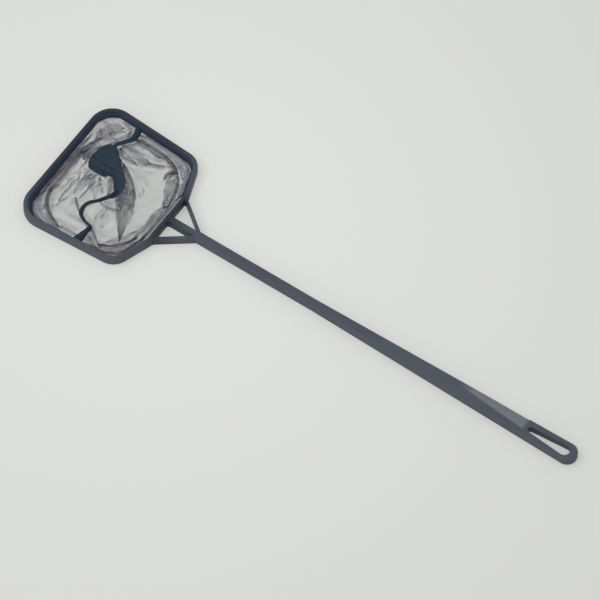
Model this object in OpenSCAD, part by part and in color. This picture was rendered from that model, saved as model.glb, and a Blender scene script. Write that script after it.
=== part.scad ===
// Aquarium fish net: a moulded plastic hoop on a three-rib yoke and a long flat handle, with a
// two-panel mesh bag that lies collapsed inside the hoop. Millimetres, handle along +X, base at Z = 0.
// The origin is on the base, in the middle of the overall length.

/* [Hoop] */
// Length of the hoop from its far edge to its nose, measured outside
hoop_len = 68; // [50:0.1:100]
// Width across the far side, between the sharp corners before rounding
far_width = 82; // [74:0.5:110]
// Width across the near side, between the sharp corners before rounding
near_width = 75.4; // [66:0.2:110]
// Width of the straight nose that carries the ribs
nose_width = 33; // [24:0.5:44]
// How far the near corners sit back from the nose
nose_set = 7.6; // [3:0.1:12]
// Outer radius of the two far corners
far_corner_r = 12.5; // [6:0.5:16]
// Outer radius of the two near corners
near_corner_r = 10; // [5:0.5:12]
// Outer radius of the bends at the ends of the nose
nose_bend_r = 8; // [4:0.5:14]
// Width of the rim, seen from above
rim_w = 2.3; // [1.8:0.1:3.5]

/* [Moulding] */
// Height of the hoop, the ribs and the shank
frame_h = 5.5; // [4:0.1:8]
// Radius that rounds the long edges of the moulding
edge_r = 0.6; // [0.2:0.05:0.8]

/* [Yoke] */
// Distance from the hoop's nose to the root of the handle
yoke_len = 17.3; // [12:0.5:30]
// Width of the middle rib
stem_w = 3; // [1.6:0.1:4]
// Width of each slanted rib
brace_w = 1.1; // [0.7:0.05:1.6]
// Distance between the outer edges of the slanted ribs, at the hoop
brace_spread = 30.4; // [20:0.2:32]
// How far each rib's foot flares to either side where it meets the hoop
foot_flare = 0.7; // [0.2:0.1:1.2]

/* [Handle] */
// Length of the handle from its root to its rounded tip
handle_len = 228.6; // [160:1:320]
// Length of the straight shank, before the handle widens
shank_len = 72; // [40:1:100]
// Width of the straight shank
shank_w = 4.4; // [3.4:0.1:6]
// Width of the handle at its rounded end
end_w = 10.8; // [9:0.1:14]
// Thickness of the handle at its rounded end
end_h = 4.4; // [3:0.1:6]

/* [Hang slot] */
// Length of the tapered slot
slot_len = 24.7; // [16:0.1:34]
// Width of the slot at its inner end
slot_inner_w = 3.2; // [2.4:0.1:4]
// Width of the slot at its outer end
slot_outer_w = 6.3; // [5:0.1:7.4]
// Wall between the slot and the tip
slot_wall = 4; // [1.2:0.1:6]

/* [Thumb facet] */
// Length of the slanted facet on one half of the top
facet_len = 40; // [20:1:60]
// Plain stretch between the facet and the slot
facet_gap = 2.5; // [1:0.5:8]
// Tilt of the facet, in degrees
facet_tilt = 13; // [6:1:18]

/* [Mesh bag] */
// Thickness of the solid that stands for the gauze
gauze_t = 0.6; // [0.4:0.05:1]
// Height of the doubled hem, midway up the rim
hem_h = 4; // [2:0.1:4]
// Thickness of the doubled hem
hem_t = 0.5; // [0.3:0.05:0.8]
// Distance from the hem to the fold that runs round inside the rim
loop_inset = 5; // [4:0.1:6]
// Rise of that fold
loop_rise = 1.1; // [0.3:0.1:1.3]
// Rise of the smaller wrinkles
wrinkle_rise = 0.35; // [0:0.05:0.4]

/* [Seam tape] */
// Width of the binding tape on the seam
tape_w = 3; // [2:0.1:4]
// Thickness of the binding tape
tape_t = 0.8; // [0.5:0.05:1]
// Thickness of one layer of the bunched tape
layer_t = 0.75; // [0.4:0.05:0.9]
// Number of layers of the bunched tape
layer_count = 4; // [2:1:4]
// Width of the band that trails from the bunch
tail_w = 4.6; // [3:0.1:5]

/* [Hidden] */

// Clearance between soft pieces and what they lie against
seat_gap = 0.3;
// Clearance between soft pieces and the ground
ground_gap = 0.2;
// One overrun serves every cut
overrun = 1;
// Thickness of the slices that a hull joins
slice_t = 0.1;
// Points on each rounded edge of the moulding
edge_steps = 4;
// Largest turn between two stations on a bend, in degrees
bend_step = 8;
// Points on each corner of the bag's outline
corner_steps = 7;
// Grid of a panel: stations along the seam, and rows from the rim to the seam
panel_cols = 46;
panel_rows = 11;
// Power that crowds the rows towards the rim
row_power = 1.25;
// Points on each span of the seam's route
seam_steps = 4;

overall_len = hoop_len + yoke_len + handle_len;
far_x = -overall_len / 2;
nose_x = far_x + hoop_len;
root_x = nose_x + yoke_len;
tip_x = overall_len / 2;
taper_x = root_x + shank_len;
far_half = far_width / 2;
near_half = near_width / 2;
nose_half = nose_width / 2;

frame_colour = "#39434f";
rib_colour = "#424c58";
gauze_colour = "#9aa1a8";
tape_colour = "#1f2f40";

// Sharp corners of the hoop, anticlockwise from above, each with its rounding radius:
// left near, left nose, right nose, right near, right far, left far
hoop_corners = [
    [nose_x - nose_set, -near_half, near_corner_r],
    [nose_x, -nose_half, nose_bend_r],
    [nose_x, nose_half, nose_bend_r],
    [nose_x - nose_set, near_half, near_corner_r],
    [far_x, far_half, far_corner_r],
    [far_x, -far_half, far_corner_r]
];
corner_count = len(hoop_corners);

function corner(i) = hoop_corners[(i + corner_count) % corner_count];
function flat_point(p) = [p.x, p.y];
function unit(v) = v / norm(v);
function left_of(v) = [-v.y, v.x];
function heading(i) = let (d = flat_point(corner(i + 1)) - flat_point(corner(i))) atan2(d.y, d.x);
function full_turn(a) = a < 0 ? a + 360 : a;
function turn(i) = full_turn(heading(i) - heading(i - 1));
function tangent_len(i) = corner(i)[2] * tan(turn(i) / 2);
function along_heading(a) = [cos(a), sin(a)];
function corner_centre(i) = flat_point(corner(i)) - tangent_len(i) * along_heading(heading(i - 1))
    + corner(i)[2] * left_of(along_heading(heading(i - 1)));

// A rectangle from [0, 0] to [w, h] with rounded corners
function rounded_rect(w, h, r) = [
    for (c = [[w - r, r, -90], [w - r, h - r, 0], [r, h - r, 90], [r, r, 180]])
        for (k = [0 : edge_steps])
            [c[0], c[1]] + r * along_heading(c[2] + 90 * k / edge_steps)
];

// Stations round the hoop: the centre of each bend, its outer radius, and the direction outwards
hoop_stations = [
    for (i = [0 : corner_count - 1])
        let (steps = ceil(turn(i) / bend_step))
        for (k = [0 : steps])
            [corner_centre(i), corner(i)[2], heading(i - 1) - 90 + turn(i) * k / steps]
];

// Sweeps a section round the hoop: its X is the distance inwards from the outer face, its Y the height
module round_the_hoop(section) {
    size = len(section);
    stations = len(hoop_stations);
    points = [
        for (s = hoop_stations)
            for (p = section)
                let (place = s[0] + (s[1] - p.x) * along_heading(s[2]))
                [place.x, place.y, p.y]
    ];
    faces = [
        for (i = [0 : stations - 1])
            for (k = [0 : size - 1])
                let (a = i * size, b = ((i + 1) % stations) * size, next = (k + 1) % size)
                each [[a + k, b + k, b + next], [a + k, b + next, a + next]]
    ];
    polyhedron(points, faces);
}

module hoop() {
    color(frame_colour)
        round_the_hoop(rounded_rect(rim_w, frame_h, edge_r));
}

// Outline of one rib from the nose to the root of the handle. hoop_y and root_y are the places of its
// middle there, and skew_w is its width measured across the net.
module rib_outline(hoop_y, root_y, skew_w) {
    flare_x = nose_x + foot_flare;
    flare_y = hoop_y + (root_y - hoop_y) * foot_flare / yoke_len;
    half_w = skew_w / 2;
    polygon([
        [nose_x, hoop_y - half_w - foot_flare],
        [flare_x, flare_y - half_w],
        [root_x, root_y - half_w],
        [root_x, root_y + half_w],
        [flare_x, flare_y + half_w],
        [nose_x, hoop_y + half_w + foot_flare]
    ]);
}

// A slanted rib is wider across the net than across itself
brace_run = (brace_spread - shank_w) / 2;
brace_skew_w = brace_w * norm([yoke_len, brace_run]) / yoke_len;
brace_hoop_y = brace_spread / 2 - brace_skew_w / 2;
brace_root_y = shank_w / 2 - brace_skew_w / 2;

module stem_outline() {
    rib_outline(0, 0, stem_w);
}

module stem_rib() {
    color(rib_colour)
        linear_extrude(frame_h)
            stem_outline();
}

// A slanted rib on one side of the middle rib, which cuts it off where they run together
module brace(side) {
    color(rib_colour)
        linear_extrude(frame_h)
            difference() {
                rib_outline(side * brace_hoop_y, side * brace_root_y, brace_skew_w);
                stem_outline();
            }
}

module right_brace() {
    brace(1);
}

module left_brace() {
    brace(-1);
}

// Cross-section of the handle, standing on the base and centred on the axis
module bar_section(w, h) {
    translate([-w / 2, 0])
        polygon(rounded_rect(w, h, edge_r));
}

// The rounded end of the handle as a disc with rounded edges
module end_disc() {
    rotate_extrude($fn = 64)
        intersection() {
            bar_section(end_w, end_h);
            square([end_w, end_h]);
        }
}

slot_outer_x = tip_x - slot_wall - slot_outer_w / 2;
slot_start_x = tip_x - slot_wall - slot_len;
slot_inner_x = slot_start_x + slot_inner_w / 2;

module hang_slot() {
    translate([0, 0, -overrun])
        linear_extrude(frame_h + 2 * overrun)
            hull() {
                translate([slot_inner_x, 0])
                    circle(d = slot_inner_w, $fn = 32);
                translate([slot_outer_x, 0])
                    circle(d = slot_outer_w, $fn = 48);
            }
}

// The underside stays flat to the tip. The top falls, and the sides spread, steadily from the shank on
taper_len = tip_x - end_w / 2 - taper_x;
top_fall = atan((frame_h - end_h) / taper_len);
function top_at(x) = frame_h - (x - taper_x) * tan(top_fall);
function side_at(x) = shank_w / 2 + (end_w - shank_w) / 2 * (x - taper_x) / taper_len;

facet_end_x = slot_start_x - facet_gap;
facet_start_x = facet_end_x - facet_len;
facet_side = side_at(facet_start_x);

// A slanted plane that starts as a point on the right edge and ends square, short of the slot
module thumb_facet() {
    translate([facet_end_x, 0, top_at(facet_end_x)])
        rotate([0, top_fall, -atan(facet_side / facet_len)])
            rotate([-facet_tilt, 0, 0])
                translate([-facet_len - end_w, 0, 0])
                    cube([facet_len + end_w, end_w, frame_h]);
}

module handle() {
    color(frame_colour)
        difference() {
            union() {
                translate([root_x, 0, 0])
                    rotate([90, 0, 90])
                        linear_extrude(shank_len)
                            bar_section(shank_w, frame_h);
                hull() {
                    translate([taper_x, 0, 0])
                        rotate([90, 0, 90])
                            linear_extrude(slice_t)
                                bar_section(shank_w, frame_h);
                    translate([tip_x - end_w / 2, 0, 0])
                        end_disc();
                }
            }
            hang_slot();
            thumb_facet();
        }
}

// The doubled top edge of the bag, which the rim holds all round
hem_low = (frame_h - hem_h) / 2;
hem_middle = frame_h / 2;

module bag_hem() {
    color(tape_colour)
        round_the_hoop([
            [rim_w, hem_low],
            [rim_w + hem_t, hem_low],
            [rim_w + hem_t, hem_low + hem_h],
            [rim_w, hem_low + hem_h]
        ]);
}

// Route of the seam across the mouth, from the left side to the right. Each point is a share of the
// hoop's length from its far edge, and a share of half its far width.
seam_route_shares = [
    [0.512, -0.93], [0.523, -0.816], [0.537, -0.695], [0.537, -0.62], [0.484, -0.592], [0.425, -0.53],
    [0.402, -0.434], [0.411, -0.303], [0.461, -0.19], [0.515, -0.02], [0.494, 0.16], [0.41, 0.32],
    [0.34, 0.5], [0.325, 0.655], [0.345, 0.80], [0.33, 0.93]
];
seam_end = len(seam_route_shares) - 1;

// How the tape leans along its run: a share of the run, and degrees from lying flat
tape_lean_stops = [[0, 10], [0.1, 35], [0.17, 70], [0.45, 70], [0.56, 0], [0.84, 0], [0.93, 25], [1, 25]];

bag_inset = rim_w + hem_t + seat_gap;

// Half the clear width between the hems at a given place
function hem_half(x) = far_half + (near_half - far_half) * (x - far_x) / (hoop_len - nose_set)
    - bag_inset / cos(heading(3) - 180);

function route_point(i) = let (s = seam_route_shares[i], x = far_x + s[0] * hoop_len)
    i == 0 ? [x, -hem_half(x)] :
    i == seam_end ? [x, hem_half(x)] :
    [x, s[1] * far_half];
function route_or_end(i) = i < 0 ? 2 * route_point(0) - route_point(1) :
    i > seam_end ? 2 * route_point(seam_end) - route_point(seam_end - 1) :
    route_point(i);

// A smooth curve through b and c, with a and d as its neighbours
function smooth_span(a, b, c, d, t) = (2 * b + (c - a) * t + (2 * a - 5 * b + 4 * c - d) * t * t
    + (3 * b - a - 3 * c + d) * t * t * t) / 2;

seam_line = [
    for (i = [0 : seam_end - 1])
        for (k = [0 : seam_steps - 1])
            smooth_span(route_or_end(i - 1), route_point(i), route_point(i + 1), route_or_end(i + 2),
                        k / seam_steps),
    route_point(seam_end)
];

// Running length of a line at each of its points, and the place at a share of that length
function run_lengths(line) = [
    for (i = 0, run = 0; i < len(line); run = run + (i + 1 < len(line) ? norm(line[i + 1] - line[i]) : 0),
         i = i + 1) run
];
function place_at(line, runs, share) = let (run = share * runs[len(runs) - 1]) [
    lookup(run, [for (i = [0 : len(line) - 1]) [runs[i], line[i].x]]),
    lookup(run, [for (i = [0 : len(line) - 1]) [runs[i], line[i].y]])
];

seam_runs = run_lengths(seam_line);
function seam_at(share) = place_at(seam_line, seam_runs, share);
share_step = 1 / (len(seam_line) - 1);
function seam_side(share) = left_of(unit(seam_at(min(1, share + share_step / 2))
    - seam_at(max(0, share - share_step / 2))));

// The bag's outline inside the hem, as an arc at each corner
function inner_arc(i) = [
    for (k = [0 : corner_steps])
        corner_centre(i) + (corner(i)[2] - bag_inset)
            * along_heading(heading(i - 1) - 90 + turn(i) * k / corner_steps)
];
function backwards(line) = [for (i = [len(line) - 1 : -1 : 0]) line[i]];

front_wall = concat([route_point(0)], backwards(inner_arc(5)), backwards(inner_arc(4)),
                    [route_point(seam_end)]);
back_wall = concat([route_point(0)], inner_arc(0), inner_arc(1), inner_arc(2), inner_arc(3),
                   [route_point(seam_end)]);

// Middle and reach of the bunched tape, as shares of the hoop's length and half its far width
gather_middle_share = [0.318, 0.30];
gather_middle = [far_x + gather_middle_share[0] * hoop_len, gather_middle_share[1] * far_half];
gather_reach_share = 0.34;
gather_reach = gather_reach_share * far_half;

function eased(t) = let (c = max(0, min(1, t))) c * c * (3 - 2 * c);
function hump(d, width) = eased(1 - abs(d) / width);

// Height of the gauze's middle. It leaves the hem, falls to the ground, rises over the fold that runs
// round inside the rim, wrinkles, and lies flat under the bunched tape and beside the seam.
gauze_low = ground_gap + gauze_t / 2;
fold_width_share = 0.45;
wrinkles_per_panel = 9;
// Turn of the wrinkles' wave over one inset, in degrees
wrinkle_lag = 90;
function wrinkle(from_rim, share) =
    1 + sin(360 * wrinkles_per_panel * share + wrinkle_lag * from_rim / loop_inset);
function gauze_height(place, from_rim, from_seam, share) =
    let (clear_of_tape = eased((norm(place - gather_middle) - gather_reach) / loop_inset)
                         * eased(from_seam / loop_inset),
         fall = eased(1 - from_rim / (loop_inset * fold_width_share)))
    gauze_low + (hem_middle - gauze_low) * fall
    + clear_of_tape * (loop_rise * hump(from_rim - loop_inset, loop_inset * fold_width_share)
                       + wrinkle_rise * wrinkle(from_rim, share) * eased(from_rim / loop_inset - 1));

// One panel of the bag, between the hem and the seam. side is -1 in front of the seam and 1 behind it.
module panel(wall, side) {
    wall_runs = run_lengths(wall);
    seam_clear = tape_w / 2 + seat_gap;
    end_share = seam_clear / seam_runs[len(seam_runs) - 1];
    middle = [
        for (c = [0 : panel_cols])
            let (share = end_share + (1 - 2 * end_share) * c / panel_cols,
                 w = place_at(wall, wall_runs, end_share + (1 - 2 * end_share) * c / panel_cols),
                 s = seam_at(share) - side * seam_clear * seam_side(share))
            for (r = [0 : panel_rows])
                let (place = w + (s - w) * pow(r / panel_rows, row_power),
                     from_rim = norm(place - w),
                     from_seam = norm(place - s))
                [place.x, place.y, gauze_height(place, from_rim, from_seam, share)]
    ];
    count = len(middle);
    lift = [0, 0, gauze_t / 2];
    stride = panel_rows + 1;
    top_cells = [
        for (c = [0 : panel_cols - 1])
            for (r = [0 : panel_rows - 1])
                let (a = c * stride + r)
                each [[a, a + stride, a + stride + 1], [a, a + stride + 1, a + 1]]
    ];
    border = concat(
        [for (r = [0 : panel_rows - 1]) r],
        [for (c = [0 : panel_cols - 1]) c * stride + panel_rows],
        [for (r = [panel_rows : -1 : 1]) panel_cols * stride + r],
        [for (c = [panel_cols : -1 : 1]) c * stride]
    );
    rim_cells = [
        for (k = [0 : len(border) - 1])
            let (a = border[k], b = border[(k + 1) % len(border)])
            each [[a, b, b + count], [a, b + count, a + count]]
    ];
    faces = concat(
        top_cells,
        [for (f = top_cells) [f[2] + count, f[1] + count, f[0] + count]],
        rim_cells
    );
    points = concat([for (p = middle) p + lift], [for (p = middle) p - lift]);
    polyhedron(points, side < 0 ? faces : [for (f = faces) [f[2], f[1], f[0]]]);
}

module front_panel() {
    color(gauze_colour)
        panel(front_wall, -1);
}

module back_panel() {
    color(gauze_colour)
        panel(back_wall, 1);
}

// The binding tape: a flat band that leans as it runs
module seam_tape() {
    stations = len(seam_line) - 1;
    rings = [
        for (i = [0 : stations])
            let (share = i / stations,
                 lean = lookup(share, tape_lean_stops),
                 side = seam_side(share),
                 across = [side.x * cos(lean), side.y * cos(lean), sin(lean)] * tape_w / 2,
                 through = [-side.x * sin(lean), -side.y * sin(lean), cos(lean)] * tape_t / 2,
                 spot = seam_at(share),
                 middle = [spot.x, spot.y, ground_gap + across.z + through.z])
            each [middle + across + through, middle - across + through,
                  middle - across - through, middle + across - through]
    ];
    walls = [
        for (i = [0 : stations - 1])
            for (k = [0 : 3])
                let (a = 4 * i + k, b = 4 * i + (k + 1) % 4)
                each [[b + 4, b, a], [a + 4, b + 4, a]]
    ];
    last = 4 * stations;
    color(tape_colour)
        polyhedron(rings, concat(walls, [[0, 1, 2, 3]], [[last + 3, last + 2, last + 1, last]]));
}

// Outline of the bunch and the line of its tail, in the same shares as the seam's route
gather_outline_shares = [
    [0.184, 0.355], [0.282, 0.52], [0.35, 0.475], [0.405, 0.34], [0.41, 0.19], [0.36, 0.085],
    [0.279, 0.106], [0.205, 0.175]
];
tail_line_shares = [[0.38, 0.26], [0.44, 0.215], [0.485, 0.15], [0.51, 0.06], [0.515, -0.03]];
// Size and turn of each layer of the bunch, from the lowest up
layer_size_shares = [1, 0.92, 0.84, 0.7];
layer_turns = [0, 9, -8, 14];
function hoop_place(s) = [far_x + s[0] * hoop_len, s[1] * far_half];

module tape_gather() {
    gather_base = ground_gap + tape_t + seat_gap;
    tail_line = [for (s = tail_line_shares) hoop_place(s)];
    color(tape_colour)
        translate([0, 0, gather_base]) {
            for (k = [0 : layer_count - 1])
                translate([gather_middle.x, gather_middle.y, k * layer_t])
                    rotate(layer_turns[k])
                        linear_extrude(layer_t)
                            polygon([for (s = gather_outline_shares)
                                layer_size_shares[k] * (hoop_place(s) - gather_middle)]);
            linear_extrude(layer_t) {
                for (i = [0 : len(tail_line) - 2])
                    let (a = tail_line[i], b = tail_line[i + 1], n = left_of(unit(b - a)) * tail_w / 2)
                    polygon([a + n, a - n, b - n, b + n]);
                for (p = tail_line)
                    translate(p)
                        circle(d = tail_w, $fn = 24);
            }
        }
}

hoop();
stem_rib();
left_brace();
right_brace();
handle();
bag_hem();
front_panel();
back_panel();
seam_tape();
tape_gather();
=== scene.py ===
"""Looks of the aquarium fish net: moulded hoop, yoke and handle with a collapsed bag of fine netting.

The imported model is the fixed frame. Its moulded nodes keep their shape and get a finish here. The hem,
the two netting panels, the binding tape and the bunch are built here as cloth and stand for their nodes.
Lengths are in millimetres until a mesh is made. A place in the hoop is given as a pair: millimetres from
the hoop's far edge, and millimetres from the net's centre line.
"""

import enum
import logging
import math
from dataclasses import dataclass, field

import bpy
import numpy as np
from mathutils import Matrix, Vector


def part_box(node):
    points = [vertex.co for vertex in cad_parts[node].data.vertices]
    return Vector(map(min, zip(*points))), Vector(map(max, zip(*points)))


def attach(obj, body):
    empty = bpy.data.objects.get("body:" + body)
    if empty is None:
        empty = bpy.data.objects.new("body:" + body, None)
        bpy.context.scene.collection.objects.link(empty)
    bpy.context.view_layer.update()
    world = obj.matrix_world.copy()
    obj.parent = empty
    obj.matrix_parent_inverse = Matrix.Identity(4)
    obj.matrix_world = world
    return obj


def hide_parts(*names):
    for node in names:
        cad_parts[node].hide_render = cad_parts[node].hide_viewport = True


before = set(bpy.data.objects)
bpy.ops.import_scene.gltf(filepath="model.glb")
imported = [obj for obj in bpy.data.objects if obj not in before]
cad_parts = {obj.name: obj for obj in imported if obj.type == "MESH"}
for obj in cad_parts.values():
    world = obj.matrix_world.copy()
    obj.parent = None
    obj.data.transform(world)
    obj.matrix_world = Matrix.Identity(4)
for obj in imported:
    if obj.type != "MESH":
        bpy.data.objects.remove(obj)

LOG = logging.getLogger("fish_net")
MM = 0.001
BODY = "root"

# Place: a place in the hoop. Span: the two ends of a range. Mark: a share of a length and the value there
Place = tuple[float, float]
Span = tuple[float, float]
Mark = tuple[float, float]
Triple = tuple[float, float, float]
Colour = Triple
Faces = list[tuple[int, ...]]
Socket = bpy.types.NodeSocket

# Largest value that waves gives in most places, and the range of its crests' distances as shares
WAVE_PEAK = 1.2
WAVE_SCALES: Span = (0.7, 1.6)


class Slot(enum.Enum):
    """The record's material slots."""

    PLASTIC = "frame_plastic"
    GAUZE = "bag_gauze"
    TAPE = "binding_tape"


def deselect_all() -> None:
    """Leaves nothing selected and nothing active."""
    for item in bpy.context.selected_objects:
        item.select_set(False)
    bpy.context.view_layer.objects.active = None


def mesh_piece(name: str, points: np.ndarray, faces: Faces) -> bpy.types.Object:
    """Makes a smooth-shaded mesh object at the origin.

    Args:
        name: Name of the piece and of its mesh.
        points: Places of the vertices in millimetres, one row each.
        faces: Vertex numbers of each face, anticlockwise from outside.

    Returns:
        The new object, linked to the scene.
    """
    mesh = bpy.data.meshes.new(name)
    mesh.from_pydata((points * MM).tolist(), [], faces)
    mesh.polygons.foreach_set("use_smooth", [True] * len(mesh.polygons))
    mesh.update()
    piece = bpy.data.objects.new(name, mesh)
    bpy.context.scene.collection.objects.link(piece)
    return piece


def smooth_route(points: tuple[Place, ...], count: int, per_span: int = 12) -> np.ndarray:
    """Runs a smooth curve through points and spaces new points evenly on it.

    Args:
        points: Places that the curve passes through.
        count: How many points to return.
        per_span: Into how many steps the curve is cut between two of its places.

    Returns:
        Array of count rows.
    """
    spots = np.asarray(points, float)
    padded = np.vstack([2 * spots[0] - spots[1], spots, 2 * spots[-1] - spots[-2]])
    share = np.linspace(0, 1, per_span, endpoint=False)[:, None]
    spans = [
        (2 * b + (c - a) * share + (2 * a - 5 * b + 4 * c - d) * share**2
         + (3 * b - a - 3 * c + d) * share**3) / 2
        for a, b, c, d in zip(padded, padded[1:], padded[2:], padded[3:])
    ]
    return spaced_evenly(np.vstack([*spans, spots[-1:]]), count)


def spaced_evenly(line: np.ndarray, count: int) -> np.ndarray:
    """Spaces points at equal distances along a line of points.

    Args:
        line: Points of the line, one row each.
        count: How many points to return.

    Returns:
        Array of count rows.
    """
    run = run_along(line)
    target = np.linspace(0, run[-1], count)
    return np.stack([np.interp(target, run, line[:, k]) for k in range(line.shape[1])], axis=1)


def run_along(line: np.ndarray) -> np.ndarray:
    """Returns the distance from the start of a line of points to each of them."""
    return np.concatenate([[0.0], np.cumsum(np.linalg.norm(np.diff(line, axis=0), axis=1))])


def line_length(line: np.ndarray) -> float:
    """Returns the length of a line of points."""
    return float(np.linalg.norm(np.diff(line, axis=0), axis=1).sum())


def unit(vectors: np.ndarray) -> np.ndarray:
    """Returns the vectors on the last axis at a length of 1."""
    return vectors / np.maximum(np.linalg.norm(vectors, axis=-1, keepdims=True), 1e-9)


def left_of(headings: np.ndarray) -> np.ndarray:
    """Returns the directions a quarter turn to the left of flat headings."""
    return np.stack([-headings[:, 1], headings[:, 0]], axis=1)


def eased(value: np.ndarray | float) -> np.ndarray:
    """Turns a share into a smooth step from 0 to 1."""
    share = np.clip(value, 0, 1)
    return share * share * (3 - 2 * share)


def waves(x: np.ndarray, y: np.ndarray, length: float, seed: int, count: int = 7) -> np.ndarray:
    """Adds up a few plane waves in seeded directions, as smooth irregularity.

    Args:
        x: First coordinate of each place.
        y: Second coordinate of each place.
        length: Typical distance between crests, in the same unit.
        seed: Number that fixes the directions and phases.
        count: How many waves are added.

    Returns:
        Values of about -1 to 1, in the shape of x.
    """
    dice = np.random.default_rng(seed)
    total = np.zeros(np.shape(x))
    for _ in range(count):
        heading, phase = dice.uniform(0, math.pi), dice.uniform(0, math.tau)
        scale = dice.uniform(*WAVE_SCALES)
        turn = math.tau / (length * scale)
        total = total + np.sin(turn * (x * math.cos(heading) + y * math.sin(heading)) + phase)
    return total / math.sqrt(2 * count)


def tube_faces(rings: int, sides: int, offset: int = 0, closed: bool = False) -> Faces:
    """Numbers the faces of a tube whose rings are stored one after the other.

    Args:
        rings: How many rings the tube has.
        sides: How many points each ring has.
        offset: Number of its first vertex.
        closed: Whether the last ring joins the first, which leaves out the end caps.

    Returns:
        Faces with their outsides out, where each ring runs anticlockwise seen from the tube's end.
    """
    faces = []
    for i in range(rings if closed else rings - 1):
        a, b = offset + i * sides, offset + ((i + 1) % rings) * sides
        faces += [(a + k, a + (k + 1) % sides, b + (k + 1) % sides, b + k) for k in range(sides)]
    if not closed:
        last = offset + (rings - 1) * sides
        faces.append(tuple(offset + k for k in reversed(range(sides))))
        faces.append(tuple(last + k for k in range(sides)))
    return faces


@dataclass(frozen=True)
class Grain:
    """Fine noise that lifts a surface.

    The scale is in noise cells per metre, the detail in octaves, the strength is the share of the full
    effect, the height is in metres, and stretch is the scale of each axis.
    """

    scale: float
    detail: float
    strength: float
    height: float
    stretch: Triple = (1, 1, 1)


class NodeTree:
    """Short ways to place and link shader nodes in one material."""

    def __init__(self, name: str) -> None:
        """Starts a material with its principled shader.

        Args:
            name: Name of the material.
        """
        self.material = bpy.data.materials.new(name)
        self.material.use_nodes = True
        self.tree = self.material.node_tree
        self.shader = self.tree.nodes["Principled BSDF"]
        self.place = self.tree.nodes.new("ShaderNodeTexCoord").outputs["Object"]

    def node(self, kind: str, **values: object) -> bpy.types.Node:
        """Adds a node and sets its attributes.

        Args:
            kind: The node's type, without ShaderNode in front.
            values: Attributes to set, by name.

        Returns:
            The new node.
        """
        made = self.tree.nodes.new("ShaderNode" + kind)
        for key, value in values.items():
            setattr(made, key, value)
        return made

    def link(self, source: Socket, target: Socket) -> None:
        """Links an output to an input."""
        self.tree.links.new(source, target)

    def set(self, **values: object) -> None:
        """Sets sockets of the principled shader, with _ for each space in a name."""
        for key, value in values.items():
            self.shader.inputs[key.replace("_", " ")].default_value = value

    def noise(self, scale: float, detail: float = 3.0, stretch: Triple = (1, 1, 1)) -> Socket:
        """Adds noise on object coordinates.

        Args:
            scale: Noise cells per metre.
            detail: Octaves of finer noise.
            stretch: Scale of each axis.

        Returns:
            The noise value's output.
        """
        mapping = self.node("Mapping")
        mapping.inputs["Scale"].default_value = stretch
        self.link(self.place, mapping.inputs["Vector"])
        noise = self.node("TexNoise")
        noise.inputs["Scale"].default_value = scale
        noise.inputs["Detail"].default_value = detail
        self.link(mapping.outputs["Vector"], noise.inputs["Vector"])
        return noise.outputs["Fac"]

    def math(self, operation: str, first: Socket, second: Socket | float) -> Socket:
        """Adds a node that works out one sum.

        Args:
            operation: Name of the sum.
            first: Output that gives the first value.
            second: Output or number for the second value.

        Returns:
            The result's output.
        """
        made = self.node("Math", operation=operation)
        self.link(first, made.inputs[0])
        if isinstance(second, Socket):
            self.link(second, made.inputs[1])
        else:
            made.inputs[1].default_value = second
        return made.outputs[0]

    def remap(self, source: Socket, low: float, high: float, start: float = 0.3, end: float = 0.7) -> Socket:
        """Maps the range from start to end onto low to high, clamped.

        Args:
            source: Output that gives the value.
            low: Result at the start.
            high: Result at the end.
            start: Where the range starts, by default where noise does in most places.
            end: Where the range ends.

        Returns:
            The result's output.
        """
        mapper = self.node("MapRange")
        mapper.inputs["From Min"].default_value = start
        mapper.inputs["From Max"].default_value = end
        mapper.inputs["To Min"].default_value = low
        mapper.inputs["To Max"].default_value = high
        self.link(source, mapper.inputs["Value"])
        return mapper.outputs["Result"]

    def span(self, source: Socket, ends: Span) -> Socket:
        """Maps the range between two ends onto 0 to 1, clamped outside.

        Args:
            source: Output that gives the value.
            ends: Value where the result is 0 and value where it is 1, whichever is larger.

        Returns:
            The result's output.
        """
        low, high = min(ends), max(ends)
        rising = ends[0] < ends[1]
        return self.remap(source, 0.0 if rising else 1.0, 1.0 if rising else 0.0, low, high)

    def mix(self, share: Socket, first: Socket | Colour, second: Socket | Colour) -> Socket:
        """Mixes two colours.

        Args:
            share: Output that gives the second colour's share.
            first: Output or colour for a share of 0.
            second: Output or colour for a share of 1.

        Returns:
            The mixed colour's output.
        """
        mixer = self.node("Mix", data_type="RGBA")
        self.link(share, mixer.inputs[0])
        for socket, value in ((mixer.inputs[6], first), (mixer.inputs[7], second)):
            if isinstance(value, Socket):
                self.link(value, socket)
            else:
                socket.default_value = (*value, 1)
        return mixer.outputs[2]

    def bump(self, height: Socket, strength: float, distance: float) -> None:
        """Feeds a height into the shader's normal, after any bump that is there.

        Args:
            height: Output that gives the height, 0 to 1.
            strength: Share of the full effect.
            distance: Height of a full step, in metres.
        """
        made = self.node("Bump")
        made.inputs["Strength"].default_value = strength
        made.inputs["Distance"].default_value = distance
        self.link(height, made.inputs["Height"])
        earlier = self.shader.inputs["Normal"].links
        if earlier:
            self.link(earlier[0].from_socket, made.inputs["Normal"])
        self.link(made.outputs["Normal"], self.shader.inputs["Normal"])

    def lift(self, grain: Grain) -> None:
        """Lifts the surface by a grain."""
        self.bump(self.noise(grain.scale, grain.detail, grain.stretch), grain.strength, grain.height)


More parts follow.
